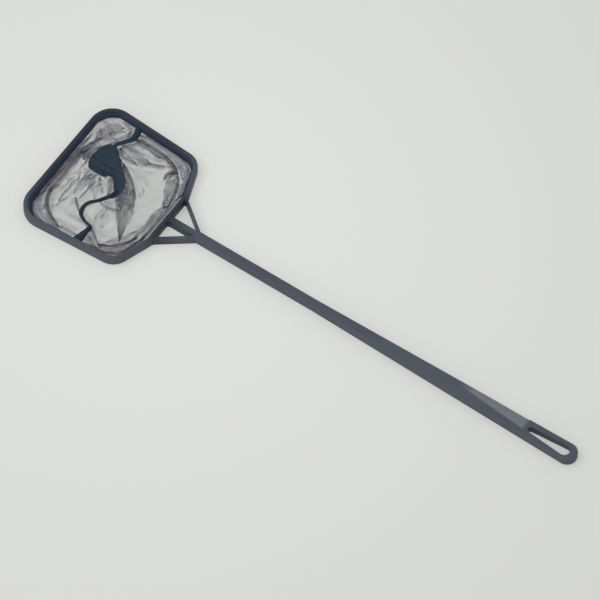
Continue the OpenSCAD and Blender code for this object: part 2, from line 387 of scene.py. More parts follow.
@dataclass(frozen=True)
class Studio:
    """Camera at the photograph's angle, pale floor and soft light.

    Angles are in degrees and round the net they count from the handle's direction, lengths are in metres
    but for the lens and the sensor in millimetres, and powers are in watts.
    """

    azimuth: float = 34.79
    elevation: float = 57.23
    distance: float = 4.0
    sensor: float = 36.0
    lens: float = 479.3
    sight: Span = (0.1, 50.0)
    aim_x: float = -9.14 * MM
    floor_size: float = 12.0
    floor_drop: float = 0.05 * MM
    floor_colour: Colour = (0.765, 0.772, 0.735)
    # Painted pool of light on the floor: it dims from its own colour to the far colour away from the spot
    # round the hoop
    floor_painted_dim_colour: Colour = (0.675, 0.680, 0.645)
    floor_roughness: float = 0.85
    floor_shine: float = 0.2
    painted_light_centre: Triple = (-75 * MM, 10 * MM, 0.0)
    painted_light_reach: float = 320 * MM
    # Painted light: for the camera the floor partly glows, which fills in the net's shadow
    glow_strength: float = 0.97
    shadow_relief: float = 0.5
    backdrop_colour: Colour = (0.72, 0.73, 0.70)
    sky_colour: Colour = (0.97, 0.985, 1.0)
    sky_strength: float = 0.80
    key_azimuth: float = 215.0
    key_elevation: float = 55.0
    key_distance: float = 1.6
    key_size: float = 1.1
    key_power: float = 6.5
    fill_azimuth: float = 285.0
    fill_elevation: float = 22.0
    fill_power: float = 2.2

    def camera(self) -> None:
        """Creates the camera and makes it the scene's own."""
        data = bpy.data.cameras.new("photo_camera")
        data.sensor_width = self.sensor
        data.lens = self.lens
        data.clip_start, data.clip_end = self.sight
        eye = bpy.data.objects.new("photo_camera", data)
        turn, tilt = math.radians(self.azimuth), math.radians(self.elevation)
        forward = Vector((-math.sin(turn) * math.cos(tilt), math.cos(turn) * math.cos(tilt), -math.sin(tilt)))
        eye.location = Vector((self.aim_x, 0, 0)) - forward * self.distance
        eye.rotation_euler = (math.pi / 2 - tilt, 0, turn)
        bpy.context.scene.collection.objects.link(eye)
        bpy.context.scene.camera = eye

    def lamp(self, name: str, azimuth: float, elevation: float, power: float) -> None:
        """Creates a broad lamp that faces the net.

        Args:
            name: Name of the lamp.
            azimuth: Where it stands round the net.
            elevation: How high it stands.
            power: Its power.
        """
        data = bpy.data.lights.new(name, "AREA")
        data.shape, data.size, data.energy = "DISK", self.key_size, power
        lamp = bpy.data.objects.new(name, data)
        turn, tilt = math.radians(azimuth), math.radians(elevation)
        away = Vector((math.cos(turn) * math.cos(tilt), math.sin(turn) * math.cos(tilt), math.sin(tilt)))
        lamp.location = away * self.key_distance
        lamp.rotation_euler = (-away).to_track_quat("-Z", "Y").to_euler()
        bpy.context.scene.collection.objects.link(lamp)

    def light(self) -> None:
        """Creates the soft key lamp, the weaker lamp from the front and the even sky."""
        self.lamp("key_lamp", self.key_azimuth, self.key_elevation, self.key_power)
        self.lamp("fill_lamp", self.fill_azimuth, self.fill_elevation, self.fill_power)
        world = bpy.data.worlds.new("sky")
        world.use_nodes = True
        nodes, links = world.node_tree.nodes, world.node_tree.links
        sky = nodes["Background"]
        sky.inputs["Color"].default_value = (*self.sky_colour, 1)
        sky.inputs["Strength"].default_value = self.sky_strength
        seen = nodes.new("ShaderNodeBackground")
        seen.inputs["Color"].default_value = (*self.backdrop_colour, 1)
        path, mix = nodes.new("ShaderNodeLightPath"), nodes.new("ShaderNodeMixShader")
        links.new(path.outputs["Is Camera Ray"], mix.inputs["Fac"])
        links.new(sky.outputs["Background"], mix.inputs[1])
        links.new(seen.outputs["Background"], mix.inputs[2])
        links.new(mix.outputs["Shader"], nodes["World Output"].inputs["Surface"])
        bpy.context.scene.world = world
        bpy.context.scene.view_settings.view_transform = "Standard"

    def floor(self) -> None:
        """Lays the pale floor just under the net."""
        deselect_all()
        bpy.ops.mesh.primitive_plane_add(size=self.floor_size, location=(0, 0, -self.floor_drop))
        plane = bpy.context.active_object
        plane.name = "floor"
        bpy.ops.object.transform_apply(location=True, rotation=True, scale=True)
        plane.data.materials.append(self.floor_finish())

    def floor_finish(self) -> bpy.types.Material:
        """Makes the floor's finish: a painted pool of light, palest round the hoop, and a camera-ray glow
        that paints light into the net's shadow to keep it faint.

        Returns:
            The material.
        """
        nodes = NodeTree("pale_floor")
        # Painted pool of light: paler round the hoop, darker further off
        shift = nodes.node("VectorMath", operation="SUBTRACT")
        shift.inputs[1].default_value = self.painted_light_centre
        nodes.link(nodes.place, shift.inputs[0])
        reach = nodes.node("VectorMath", operation="LENGTH")
        nodes.link(shift.outputs["Vector"], reach.inputs[0])
        share = nodes.remap(reach.outputs["Value"], 0.0, 1.0, 0.0, self.painted_light_reach)
        colour = nodes.mix(share, self.floor_colour, self.floor_painted_dim_colour)
        nodes.link(colour, nodes.shader.inputs["Base Color"])
        nodes.set(Roughness=self.floor_roughness, Specular_IOR_Level=self.floor_shine)
        # Painted light: a glow seen by camera rays that lightens the net's shadow
        glow = nodes.node("Emission")
        glow.inputs["Strength"].default_value = self.glow_strength
        nodes.link(colour, glow.inputs["Color"])
        path = nodes.node("LightPath")
        seen = path.outputs["Is Camera Ray"]
        for kind in ("Is Glossy Ray", "Is Transmission Ray"):
            seen = nodes.math("MAXIMUM", seen, path.outputs[kind])
        mix = nodes.node("MixShader")
        nodes.link(nodes.math("MULTIPLY", seen, self.shadow_relief), mix.inputs["Fac"])
        nodes.link(nodes.shader.outputs["BSDF"], mix.inputs[1])
        nodes.link(glow.outputs["Emission"], mix.inputs[2])
        nodes.link(mix.outputs["Shader"], nodes.tree.nodes["Material Output"].inputs["Surface"])
        return nodes.material

    def build(self) -> None:
        """Creates the camera, the light and the floor."""
        self.camera()
        self.light()
        self.floor()


@dataclass(frozen=True)
class MouldedPlastic:
    """Satin injection-moulded plastic, dark blue grey, with painted light on the handle, lit left side and
    near corners.

    Each span but the roughness and the clouds' is a place where the painted light starts and the place where
    it is full. They lie along the net for handle, near and the facet's start and end, across it for left,
    aside and the facet's edge, and above the ground for the facet's low.
    """

    name: str = "moulded_plastic"
    colour: Colour = (0.013, 0.023, 0.039)
    # Paler colour of the painted light on the handle, the hoop's lit left side and its near corners
    painted_light_colour: Colour = (0.060, 0.072, 0.092)
    # Colour of the painted highlight on the handle's facet
    painted_highlight_colour: Colour = (0.140, 0.156, 0.172)
    roughness: Span = (0.42, 0.56)
    roughness_scale: float = 260.0
    roughness_detail: float = 5.0
    shine: float = 0.35
    refraction: float = 1.5
    handle: Span = (-88.5 * MM, -78 * MM)
    left: Span = (-14 * MM, -37 * MM)
    near: Span = (-112 * MM, -98 * MM)
    near_share: float = 0.8
    aside: Span = (13 * MM, 22 * MM)
    cloud_scale: float = 60.0
    cloud_detail: float = 4.0
    cloud_stretch: Triple = (0.35, 1, 1)
    cloud_range: Span = (0.75, 1.15)
    facet_start: Span = (86 * MM, 95 * MM)
    facet_end: Span = (127 * MM, 125 * MM)
    facet_low: Span = (3.2 * MM, 3.7 * MM)
    facet_slope: float = 0.083
    facet_edge: Span = (8.3 * MM, 9.0 * MM)
    spark: Grain = Grain(5200.0, 2.0, 0.25, 0.03 * MM)
    flow: Grain = Grain(420.0, 3.0, 0.35, 0.06 * MM, (0.2, 1, 1))

    def painted_light_share(self, nodes: NodeTree) -> Socket:
        """Works out the painted light's share at each place: the handle, the hoop's lit left side and its
        near corners.

        Args:
            nodes: The material's nodes.

        Returns:
            Output that gives the share, 0 to 1.
        """
        split = nodes.node("SeparateXYZ")
        nodes.link(nodes.place, split.inputs["Vector"])
        along, across = split.outputs["X"], split.outputs["Y"]
        handle = nodes.span(along, self.handle)
        left = nodes.span(across, self.left)
        near = nodes.math("MULTIPLY", nodes.span(along, self.near), self.near_share)
        off_centre = nodes.math("MAXIMUM", across, nodes.math("MULTIPLY", across, -1.0))
        corners = nodes.math("MULTIPLY", near, nodes.span(off_centre, self.aside))
        most = nodes.math("MAXIMUM", nodes.math("MAXIMUM", handle, left), corners)
        clouds = nodes.noise(self.cloud_scale, self.cloud_detail, self.cloud_stretch)
        return nodes.math("MULTIPLY", most, nodes.remap(clouds, *self.cloud_range))

    def painted_facet_highlight(self, nodes: NodeTree) -> Socket:
        """Works out where the painted highlight lies on the facet, before the slot.

        Args:
            nodes: The material's nodes.

        Returns:
            Output that gives the share, 0 to 1.
        """
        split = nodes.node("SeparateXYZ")
        nodes.link(nodes.place, split.inputs["Vector"])
        along, across, up = (split.outputs[axis] for axis in "XYZ")
        slant = nodes.math("ADD", across, nodes.math("MULTIPLY", along, self.facet_slope))
        share = nodes.math("MULTIPLY", nodes.span(slant, self.facet_edge), nodes.span(up, self.facet_low))
        for ends in (self.facet_start, self.facet_end):
            share = nodes.math("MULTIPLY", share, nodes.span(along, ends))
        return share

    def material(self) -> bpy.types.Material:
        """Makes the finish with painted light on the lit parts, a painted highlight on the facet, flow
        clouding and fine spark texture.

        Returns:
            The material.
        """
        nodes = NodeTree(self.name)
        # Painted light: the handle, the hoop's lit left side and its near corners are coloured paler where
        # they catch light
        colour = nodes.mix(self.painted_light_share(nodes), self.colour, self.painted_light_colour)
        # Painted highlight on the handle's facet, where it catches light
        colour = nodes.mix(self.painted_facet_highlight(nodes), colour, self.painted_highlight_colour)
        nodes.link(colour, nodes.shader.inputs["Base Color"])
        patches = nodes.noise(self.roughness_scale, self.roughness_detail)
        nodes.link(nodes.remap(patches, *self.roughness), nodes.shader.inputs["Roughness"])
        nodes.lift(self.spark)
        nodes.lift(self.flow)
        nodes.set(IOR=self.refraction, Specular_IOR_Level=self.shine)
        return nodes.material


@dataclass(frozen=True)
class NylonThread:
    """Sheer nylon thread of the netting, smoky grey."""

    name: str = "nylon_thread"
    colour: Colour = (0.040, 0.062, 0.125)
    worn: Colour = (0.086, 0.084, 0.150)
    opacity: float = 0.25
    refraction: float = 1.53
    roughness: float = 0.45
    drift_scale: float = 90.0
    fibre: Grain = Grain(14000.0, 2.0, 0.3, 0.01 * MM)

    def material(self) -> bpy.types.Material:
        """Makes the finish, whose tint drifts a little from place to place.

        Returns:
            The material.
        """
        nodes = NodeTree(self.name)
        drift = nodes.remap(nodes.noise(self.drift_scale), 0.0, 1.0)
        nodes.link(nodes.mix(drift, self.colour, self.worn), nodes.shader.inputs["Base Color"])
        nodes.lift(self.fibre)
        nodes.set(Roughness=self.roughness, Alpha=self.opacity, IOR=self.refraction)
        return nodes.material


@dataclass(frozen=True)
class WovenBinding:
    """Woven binding tape, dark navy, with the weave on the tape's own UV map."""

    name: str = "woven_binding"
    colour: Colour = (0.018, 0.030, 0.047)
    raised: Colour = (0.032, 0.050, 0.074)
    threads_per_mm: float = 3.4
    weave_strength: float = 0.8
    weave_height: float = 0.08 * MM
    fuzz_scale: float = 700.0
    fuzz_detail: float = 4.0
    nap: Grain = Grain(2600.0, 3.0, 0.4, 0.05 * MM)
    roughness: float = 0.82
    shine: float = 0.15

    def material(self) -> bpy.types.Material:
        """Makes the finish: crossed threads that lift the surface and catch a little light.

        Returns:
            The material.
        """
        nodes = NodeTree(self.name)
        uv = nodes.node("UVMap")
        split = nodes.node("SeparateXYZ")
        nodes.link(uv.outputs["UV"], split.inputs["Vector"])
        turns = [nodes.math("MULTIPLY", split.outputs[axis], math.pi * self.threads_per_mm) for axis in "XY"]
        weave = nodes.math("MULTIPLY", *(nodes.math("SINE", turn, 0.0) for turn in turns))
        height = nodes.remap(weave, 0.0, 1.0, -1.0, 1.0)
        fuzz = nodes.remap(nodes.noise(self.fuzz_scale, self.fuzz_detail), 0.0, 1.0)
        nodes.link(nodes.mix(fuzz, self.colour, self.raised), nodes.shader.inputs["Base Color"])
        nodes.bump(height, self.weave_strength, self.weave_height)
        nodes.lift(self.nap)
        nodes.set(Roughness=self.roughness, Specular_IOR_Level=self.shine)
        return nodes.material


class Finishes:
    """One material for each finish, made once."""

    def __init__(self) -> None:
        """Makes the materials."""
        self.plastic = MouldedPlastic().material()
        self.thread = NylonThread().material()
        self.binding = WovenBinding().material()
        # Painted light: the hem's binding is a paler copy of the tape's, standing in for the light the hem
        # catches
        hem = WovenBinding(name="woven_hem_painted_lit", colour=(0.030, 0.046, 0.080), raised=(0.048, 0.070, 0.112))
        self.hem = hem.material()


def dress(piece: bpy.types.Object, material: bpy.types.Material) -> None:
    """Gives a new piece its material and its body.

    Args:
        piece: The piece.
        material: Its material.
    """
    piece.data.materials.clear()
    piece.data.materials.append(material)
    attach(piece, BODY)


@dataclass
class Moulding:
    """The hoop, the three ribs and the handle, which keep their shape."""

    finishes: Finishes
    nodes: tuple[str, ...] = ("hoop", "stem_rib", "left_brace", "right_brace", "handle")

    def build(self) -> list[bpy.types.Object]:
        """Gives each moulded node the plastic finish.

        Returns:
            The nodes.
        """
        nodes = [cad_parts[name] for name in self.nodes]
        for node in nodes:
            node.data.materials.clear()
            node.data.materials.append(self.finishes.plastic)
        return nodes


class HoopOutline:
    """Lines inside the hoop, read from the hem's node.

    The hem's inner edge is found in steps of an angle round the hoop's middle, and its ring is cut into
    a coarse or a fine count of points.
    """

    SCAN_STEP: float = math.radians(0.5)
    COARSE: int = 360
    FINE: int = 1441

    def __init__(self) -> None:
        """Reads the hem's inner edge and the hoop's far edge."""
        low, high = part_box("hoop")
        self.far_x = low.x / MM
        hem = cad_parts["bag_hem"].data
        spots = np.array([vertex.co for vertex in hem.vertices], float)[:, :2] / MM
        middle = np.array([(low.x + high.x) / 2 / MM, 0.0])
        angle = np.arctan2(spots[:, 1] - middle[1], spots[:, 0] - middle[0])
        reach = np.linalg.norm(spots - middle, axis=1)
        order = np.argsort(angle)
        bins = np.round(angle[order] / self.SCAN_STEP)
        inner = [order[bins == b][np.argmin(reach[order[bins == b]])] for b in np.unique(bins)]
        self.inner = self.convex(spots[inner])

    @staticmethod
    def convex(points: np.ndarray) -> np.ndarray:
        """Draws the convex outline of points.

        Args:
            points: Points on a plane, one row each.

        Returns:
            The outline's points, anticlockwise and not closed.
        """
        chain: list[np.ndarray] = []
        ordered = points[np.lexsort((points[:, 1], points[:, 0]))]
        for line in (ordered, ordered[::-1]):
            start = len(chain)
            for point in line:
                while len(chain) - start > 1:
                    (ax, ay), (bx, by) = chain[-2], chain[-1]
                    if (bx - ax) * (point[1] - ay) - (by - ay) * (point[0] - ax) > 0:
                        break
                    chain.pop()
                chain.append(point)
            chain.pop()
        return np.array(chain)

    def place(self, spots: np.ndarray) -> np.ndarray:
        """Moves places in the hoop to the frame."""
        return spots + np.array([self.far_x, 0.0])

    def ring(self, count: int) -> np.ndarray:
        """Returns count points round the inner edge, in the hoop's places, first one last again."""
        line = np.vstack([self.inner, self.inner[:1]]) - np.array([self.far_x, 0.0])
        return spaced_evenly(line, count)

    def distance(self, spots: np.ndarray) -> np.ndarray:
        """Measures how far places lie from the inner edge.

        Args:
            spots: Places in the hoop, with the pair on the last axis.

        Returns:
            Distances, in the shape of the places.
        """
        ring = self.ring(self.COARSE)
        flat = spots.reshape(-1, 2)
        gaps = [np.linalg.norm(flat - point, axis=1) for point in ring]
        return np.min(gaps, axis=0).reshape(spots.shape[:-1])

    def wall(self, start: Place, end: Place, count: int) -> np.ndarray:
        """Follows the inner edge the short way between the points nearest to two places.

        Args:
            start: Place near the first point.
            end: Place near the last point.
            count: How many points to return.

        Returns:
            Array of count rows in the hoop's places.
        """
        ring = self.ring(self.FINE)[:-1]
        first = int(np.argmin(np.linalg.norm(ring - np.array(start), axis=1)))
        last = int(np.argmin(np.linalg.norm(ring - np.array(end), axis=1)))
        size = len(ring)
        onward, backward = (last - first) % size, (first - last) % size
        turn, steps = (1, onward) if onward < backward else (-1, backward)
        passed = [(first + turn * k) % size for k in range(steps + 1)]
        return spaced_evenly(ring[passed], count)


# Places that the seam runs through, from the left of the hoop to the right
SEAM_ROUTE: tuple[Place, ...] = (
    (36.1, -37.2), (36.2, -33.0), (36.7, -28.2), (36.4, -25.0), (32.3, -24.0), (28.2, -21.4), (27.1, -17.2),
    (28.1, -13.3), (31.8, -8.5), (35.2, -2.2), (33.4, 5.0), (27.2, 12.4), (20.6, 18.6), (18.4, 22.6),
    (20.8, 26.6), (23.3, 30.2), (23.5, 33.4), (22.6, 38.0),
)


@dataclass(frozen=True)
class Fold:
    """Spare netting laid to and fro in a strip, as a pleat or a crease.

    The line is places in the hoop that the fold runs through, and widths are its widths there. Layers is
    how many times the netting crosses the strip. They turn ever nearer to the core, which is a share of
    the width, from 0 on the right of the line to 1 on its left, so the fold is densest there. Lift is the
    height of the lowest layer over the sheet, crown how far the middle bulges, taper the length of the
    pointed ends, tightest the least share of its reach that a turn keeps, and doubling how many times
    thicker the threads are.
    """

    line: tuple[Place, ...]
    widths: tuple[float, ...]
    layers: int = 3
    core: float = 0.5
    seed: int = 1
    lift: float = 0.3
    crown: float = 0.3
    taper: float = 4.0
    tightest: float = 0.25
    doubling: float = 1.0


@dataclass(frozen=True)
class Crumple:
    """A patch of small creases that lie much the same way.

    The centre and the spread place the patch, heading is the creases' direction in degrees from the
    handle's, and fan turns it by that much for each millimetre across the patch. Halves is the range of a
    crease's half length as a share of length, bow how far its middle swings out, and breadths the range of
    its width in the middle. Lift, crown and taper are those of its fold.
    """

    centre: Place
    spread: Place
    heading: float
    count: int
    seed: int
    fan: float = 0.0
    length: float = 5.0
    wobble: float = 14.0
    halves: Span = (0.35, 0.7)
    bow: float = 0.25
    breadths: Span = (0.7, 1.3)
    tip_breadth: float = 0.5
    doublings: Span = (0.8, 1.2)
    lift: float = 0.15
    crown: float = 0.1
    taper: float = 2.0
    seeds_from: int = 900
    seeds_apart: int = 40

    def folds(self) -> list[Fold]:
        """Draws the creases of the patch.

        Returns:
            The creases, as small folds.
        """
        dice = np.random.default_rng(self.seed)
        made = []
        for k in range(self.count):
            offset = dice.uniform(-1, 1, 2)
            middle = np.array(self.centre) + offset * np.array(self.spread)
            fanned = self.heading + self.fan * offset[1] * self.spread[1]
            turn = math.radians(fanned + dice.normal(0, self.wobble))
            half = self.length * dice.uniform(*self.halves)
            step = np.array([math.cos(turn), math.sin(turn)]) * half
            bow = np.array([-step[1], step[0]]) * dice.uniform(-self.bow, self.bow)
            line = (tuple(middle - step), tuple(middle + bow), tuple(middle + step))
            widths = (self.tip_breadth, dice.uniform(*self.breadths), self.tip_breadth)
            made.append(Fold(
                line, widths, layers=1, seed=self.seeds_from + self.seed * self.seeds_apart + k,
                lift=self.lift, crown=self.crown, taper=self.taper, doubling=dice.uniform(*self.doublings),
            ))
        return made


@dataclass(frozen=True)
class Lattice:
    """Netting drawn as real thread: square meshes whose threads pass over and under each other.

    The weave's depth and the thread's range are shares of the thread's thickness, and the unevenness is
    the share of the pitch by which a thread strays.
    """

    pitch: float = 0.82
    thread: float = 0.156
    thread_range: Span = (0.8, 1.2)
    weave_depth: float = 0.35
    unevenness: float = 0.22
    seeds_apart: int = 1000

    def meshes(self, length: float, least: int) -> int:
        """Returns how many meshes fit along a length, and no fewer than the least."""
        return max(least, round(length / self.pitch))

    def threads(self, grid: np.ndarray, doubling: float = 1.0) -> tuple[np.ndarray, Faces]:
        """Builds the threads of one piece of netting.

        Args:
            grid: Places of the netting's surface, shaped rows, columns and 3. Threads run along each
                row and each column.
            doubling: How much thicker the threads are where several lie together.

        Returns:
            Vertices and faces of closed four-sided threads.
        """
        dice = np.random.default_rng(grid.shape[0] * self.seeds_apart + grid.shape[1])
        along = np.gradient(grid, axis=0)
        across = np.gradient(grid, axis=1)
        normal = unit(np.cross(along, across))
        points, faces, offset = [], [], 0
        for turned in (False, True):
            spots = grid.transpose(1, 0, 2) if turned else grid
            heading = along.transpose(1, 0, 2) if turned else across
            upright = normal.transpose(1, 0, 2) if turned else normal
            lines, steps = spots.shape[:2]
            beat = (-1.0) ** np.add.outer(np.arange(lines), np.arange(steps)) * (-1 if turned else 1)
            side = unit(np.cross(upright, heading))
            middle = spots + upright * (beat * self.thread * self.weave_depth * doubling)[..., None]
            wander = dice.uniform(-self.unevenness, self.unevenness, (lines, steps))
            middle = middle + side * (wander * self.pitch)[..., None]
            thickness = self.thread * doubling * dice.uniform(*self.thread_range, (lines, steps))[..., None]
            reach, deep = side * thickness / 2, upright * thickness / 2
            ring = np.stack(
                [middle + reach + deep, middle - reach + deep, middle - reach - deep, middle + reach - deep],
                axis=2,
            )
            points.append(ring.reshape(-1, 3))
            faces += self.line_faces(lines, steps, offset)
            offset += lines * steps * 4
        return np.vstack(points), faces

    @staticmethod
    def line_faces(lines: int, steps: int, offset: int) -> Faces:
        """Numbers the faces of several four-sided threads that are stored one after the other.

        Args:
            lines: How many threads there are.
            steps: How many rings each thread has.
            offset: Number of the first vertex.

        Returns:
            The faces.
        """
        faces = []
        for line in range(lines):
            faces += tube_faces(steps, 4, offset + line * steps * 4)
        return faces


def cell_area(grid: np.ndarray) -> float:
    """Measures the area of a grid's surface.

    Args:
        grid: Places, shaped rows, columns and 3.

    Returns:
        The area in square millimetres.
    """
    first = grid[1:, 1:] - grid[:-1, :-1]
    second = grid[1:, :-1] - grid[:-1, 1:]
    return float(np.linalg.norm(np.cross(first, second), axis=2).sum() / 2)


@dataclass
class Panel:
    """One of the bag's two panels of netting, from its wall of the hoop to the seam.

    The wall's side is 1 for the far wall and -1 for the near one, and the corners are where it ends. The
    netting falls from the hem's height to the ground over the fall. Drift, streak and crease are how far
    the sheet is pulled about, drawn into streaks and lifted. Each layer of a fold lies a step higher, with
    a jostle of its own, and its turns wander. Flutter is the unevenness of a fold's height.
    """

    name: str
    node: str
    wall_side: int
    corners: tuple[Place, Place]
    folds: tuple[Fold, ...]
    crumples: tuple[Crumple, ...]
    outline: HoopOutline
    finishes: Finishes
    lattice: Lattice = Lattice()
    stations: int = 400
    fold_stations: int = 240
    softening: int = 61
    seam_overlap: float = 0.8
    hem_height: float = 1.3
    ground: float = 0.35
    fall: float = 4.6
    crease: float = 0.45
    ripple_lengths: Span = (6.0, 3.0)
    fine_ripple: float = 0.15
    drift: float = 0.3
    drift_length: float = 7.0
    streak: float = 0.45
    streak_length: float = 4.6
    streak_stretch: float = 0.3
    edge_wander: float = 0.10
    edge_length: float = 8.0
    edge_seeds_apart: int = 10
    layer_step: float = 0.22
    layer_shift: Place = (1.7, -2.3)
    jostle: float = 0.16
    jostle_length: float = 3.2
    jostle_seed: int = 80
    tip_width: float = 0.12
    tip_lift: float = 0.3
    flutter: float = 0.1
    flutter_length: float = 3.0
    flutter_seed: int = 40
    seed: int = 3
    area: float = field(default=0.0, init=False)

    def patch(self) -> np.ndarray:
        """Spreads the panel flat between its three walls and the seam.

        Returns:
            Grid of places in the hoop, from the wall to the seam along its second axis.
        """
        seam = smooth_route(SEAM_ROUTE, self.stations)
        kernel = np.hanning(self.softening)
        kernel /= kernel.sum()
        beyond = self.softening // 2
        soft = np.stack(
            [np.convolve(np.pad(seam[:, k], beyond, "edge"), kernel, "valid") for k in (0, 1)], axis=1)
        soft[:, 0] -= self.wall_side * self.seam_overlap
        left, right = self.corners
        far = self.outline.wall(left, right, self.stations)
        low = self.outline.wall(left, tuple(seam[0]), self.stations // 2)
        high = self.outline.wall(right, tuple(seam[-1]), self.stations // 2)
        depth = float(np.mean(np.linalg.norm(soft - far, axis=1)))
        rows = self.lattice.meshes((line_length(far) + line_length(soft)) / 2, 2) + 1
        cols = self.lattice.meshes(depth, 1) + 1
        far, soft = spaced_evenly(far, rows), spaced_evenly(soft, rows)
        low, high = spaced_evenly(low, cols), spaced_evenly(high, cols)
        u = np.linspace(0, 1, rows)[:, None, None]
        v = np.linspace(0, 1, cols)[None, :, None]
        ruled = (1 - v) * far[:, None] + v * soft[:, None] + (1 - u) * low[None] + u * high[None]
        counted_twice = ((1 - u) * (1 - v) * far[0] + (1 - u) * v * soft[0] + u * (1 - v) * far[-1]
                         + u * v * soft[-1])
        return ruled - counted_twice

    def heights(self, spots: np.ndarray) -> np.ndarray:
        """Works out the netting's height, from the hem down to the ground.

        Args:
            spots: Places in the hoop, with the pair on the last axis.

        Returns:
            Heights, in the shape of the places.
        """
        gap = self.outline.distance(spots)
        slope, calm = eased(1 - gap / self.fall), eased(gap / self.fall)
        x, y = spots[..., 0], spots[..., 1]
        broad, fine = (waves(x, y, length, self.seed + k) for k, length in enumerate(self.ripple_lengths))
        ripple = 0.5 + 0.5 * broad + self.fine_ripple * fine
        return self.ground + (self.hem_height - self.ground) * slope + self.crease * calm * np.abs(ripple)

    def sheet(self) -> np.ndarray:
        """Lays the panel's main sheet.

        Returns:
            Its grid in the frame.
        """
        spots = self.patch()
        x, y = spots[..., 0], spots[..., 1]
        calm = eased(self.outline.distance(spots) / self.fall)
        pulls = [waves(x, y, self.drift_length, self.seed + k) for k in (2, 3)]
        shift = self.drift * np.stack(pulls, axis=-1)
        shift[..., 0] += self.streak * waves(x, y * self.streak_stretch, self.streak_length, self.seed + 4)
        spots = spots + calm[..., None] * shift
        return np.dstack([self.outline.place(spots), self.heights(spots)])

    def turns(self, fold: Fold, run: np.ndarray) -> list[np.ndarray]:
        """Finds where the netting of a fold turns back.

        Args:
            fold: The fold.
            run: Distance of each row from the fold's start.

        Returns:
            For each turn, its share of the fold's width at each row.
        """
        ends = []
        for k in range(fold.layers + 1):
            reach = fold.tightest + (1 - fold.tightest) * (1 - k / (fold.layers + 1))
            end = fold.core + ((1 - fold.core) if k % 2 else -fold.core) * reach
            ragged = waves(run, run * 0, self.edge_length, fold.seed * self.edge_seeds_apart + k)
            ends.append(end + self.edge_wander * ragged / WAVE_PEAK)
        return ends

    def layers(self, fold: Fold, run: np.ndarray, width: np.ndarray) -> tuple[np.ndarray, np.ndarray]:
        """Runs the netting of a fold from turn to turn, layer upon layer.

        Args:
            fold: The fold.
            run: Distance of each row from the fold's start.
            width: The fold's width at each row.

        Returns:
            The share of the fold's width and the level of every place, row by row.
        """
        turns = self.turns(fold, run)
        share, level = [], []
        for k, (start, end) in enumerate(zip(turns, turns[1:])):
            count = self.lattice.meshes(float(np.mean(np.abs(end - start) * width)), 1)
            steps = np.linspace(0, 1, count + 1)[1 if k else 0:, None]
            share.append(start + (end - start) * steps)
            level.append(np.full(steps.shape, k * self.layer_step) + self.layer_step * steps + 0 * start)
        return np.vstack(share).T, np.vstack(level).T

    def fold_grid(self, fold: Fold) -> np.ndarray:
        """Lays one fold's strip to and fro over its width.

        Args:
            fold: The fold.

        Returns:
            Grid in the frame: along the fold, and across it through all its layers.
        """
        route = smooth_route(fold.line, self.fold_stations)
        length = line_length(route)
        rows = self.lattice.meshes(length, 4) + 1
        route = spaced_evenly(route, rows)
        run = np.linspace(0, length, rows)
        from_tip = np.minimum(run, length - run) / fold.taper
        width = np.interp(run, np.linspace(0, length, len(fold.widths)), fold.widths)
        width = width * eased(from_tip + self.tip_width)
        leftwards = left_of(unit(np.gradient(route, axis=0)))
        share, level = self.layers(fold, run, width)
        spots = route[:, None] + leftwards[:, None] * (width[:, None] * (share - 0.5))[..., None]
        rise = eased(from_tip)[:, None]
        bulge = fold.crown * np.sin(math.pi * np.clip(share, 0, 1)) * rise
        lift = (fold.lift + level) * (self.tip_lift + (1 - self.tip_lift) * rise)
        height = self.heights(spots) + lift + bulge
        x, y = spots[..., 0], spots[..., 1]
        layer = level / self.layer_step
        for axis in (0, 1):
            shifted = (x + self.layer_shift[0] * layer, y + self.layer_shift[1] * layer)
            seed = fold.seed + self.jostle_seed + axis
            spots[..., axis] += self.jostle * waves(*shifted, self.jostle_length, seed)
        height = height + self.flutter * waves(x, y, self.flutter_length, fold.seed + self.flutter_seed)
        return np.dstack([self.outline.place(spots), height])

    def build(self) -> bpy.types.Object:
        """Builds the panel's netting, measures it and stands it for its node.

        Returns:
            The piece.
        """
        folds = [*self.folds, *(fold for crumple in self.crumples for fold in crumple.folds())]
        grids = [self.sheet()] + [self.fold_grid(fold) for fold in folds]
        doublings = [1.0] + [fold.doubling for fold in folds]
        points, faces, offset = [], [], 0
        for grid, doubling in zip(grids, doublings):
            made, sides = self.lattice.threads(grid, doubling)
            points.append(made)
            faces += [tuple(k + offset for k in side) for side in sides]
            offset += len(made)
        self.area = sum(cell_area(grid) for grid in grids)
        piece = mesh_piece(self.name, np.vstack(points), faces)
        dress(piece, self.finishes.thread)
        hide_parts(self.node)
        LOG.info("%s holds %.0f mm2 of netting", self.name, self.area)
        return piece


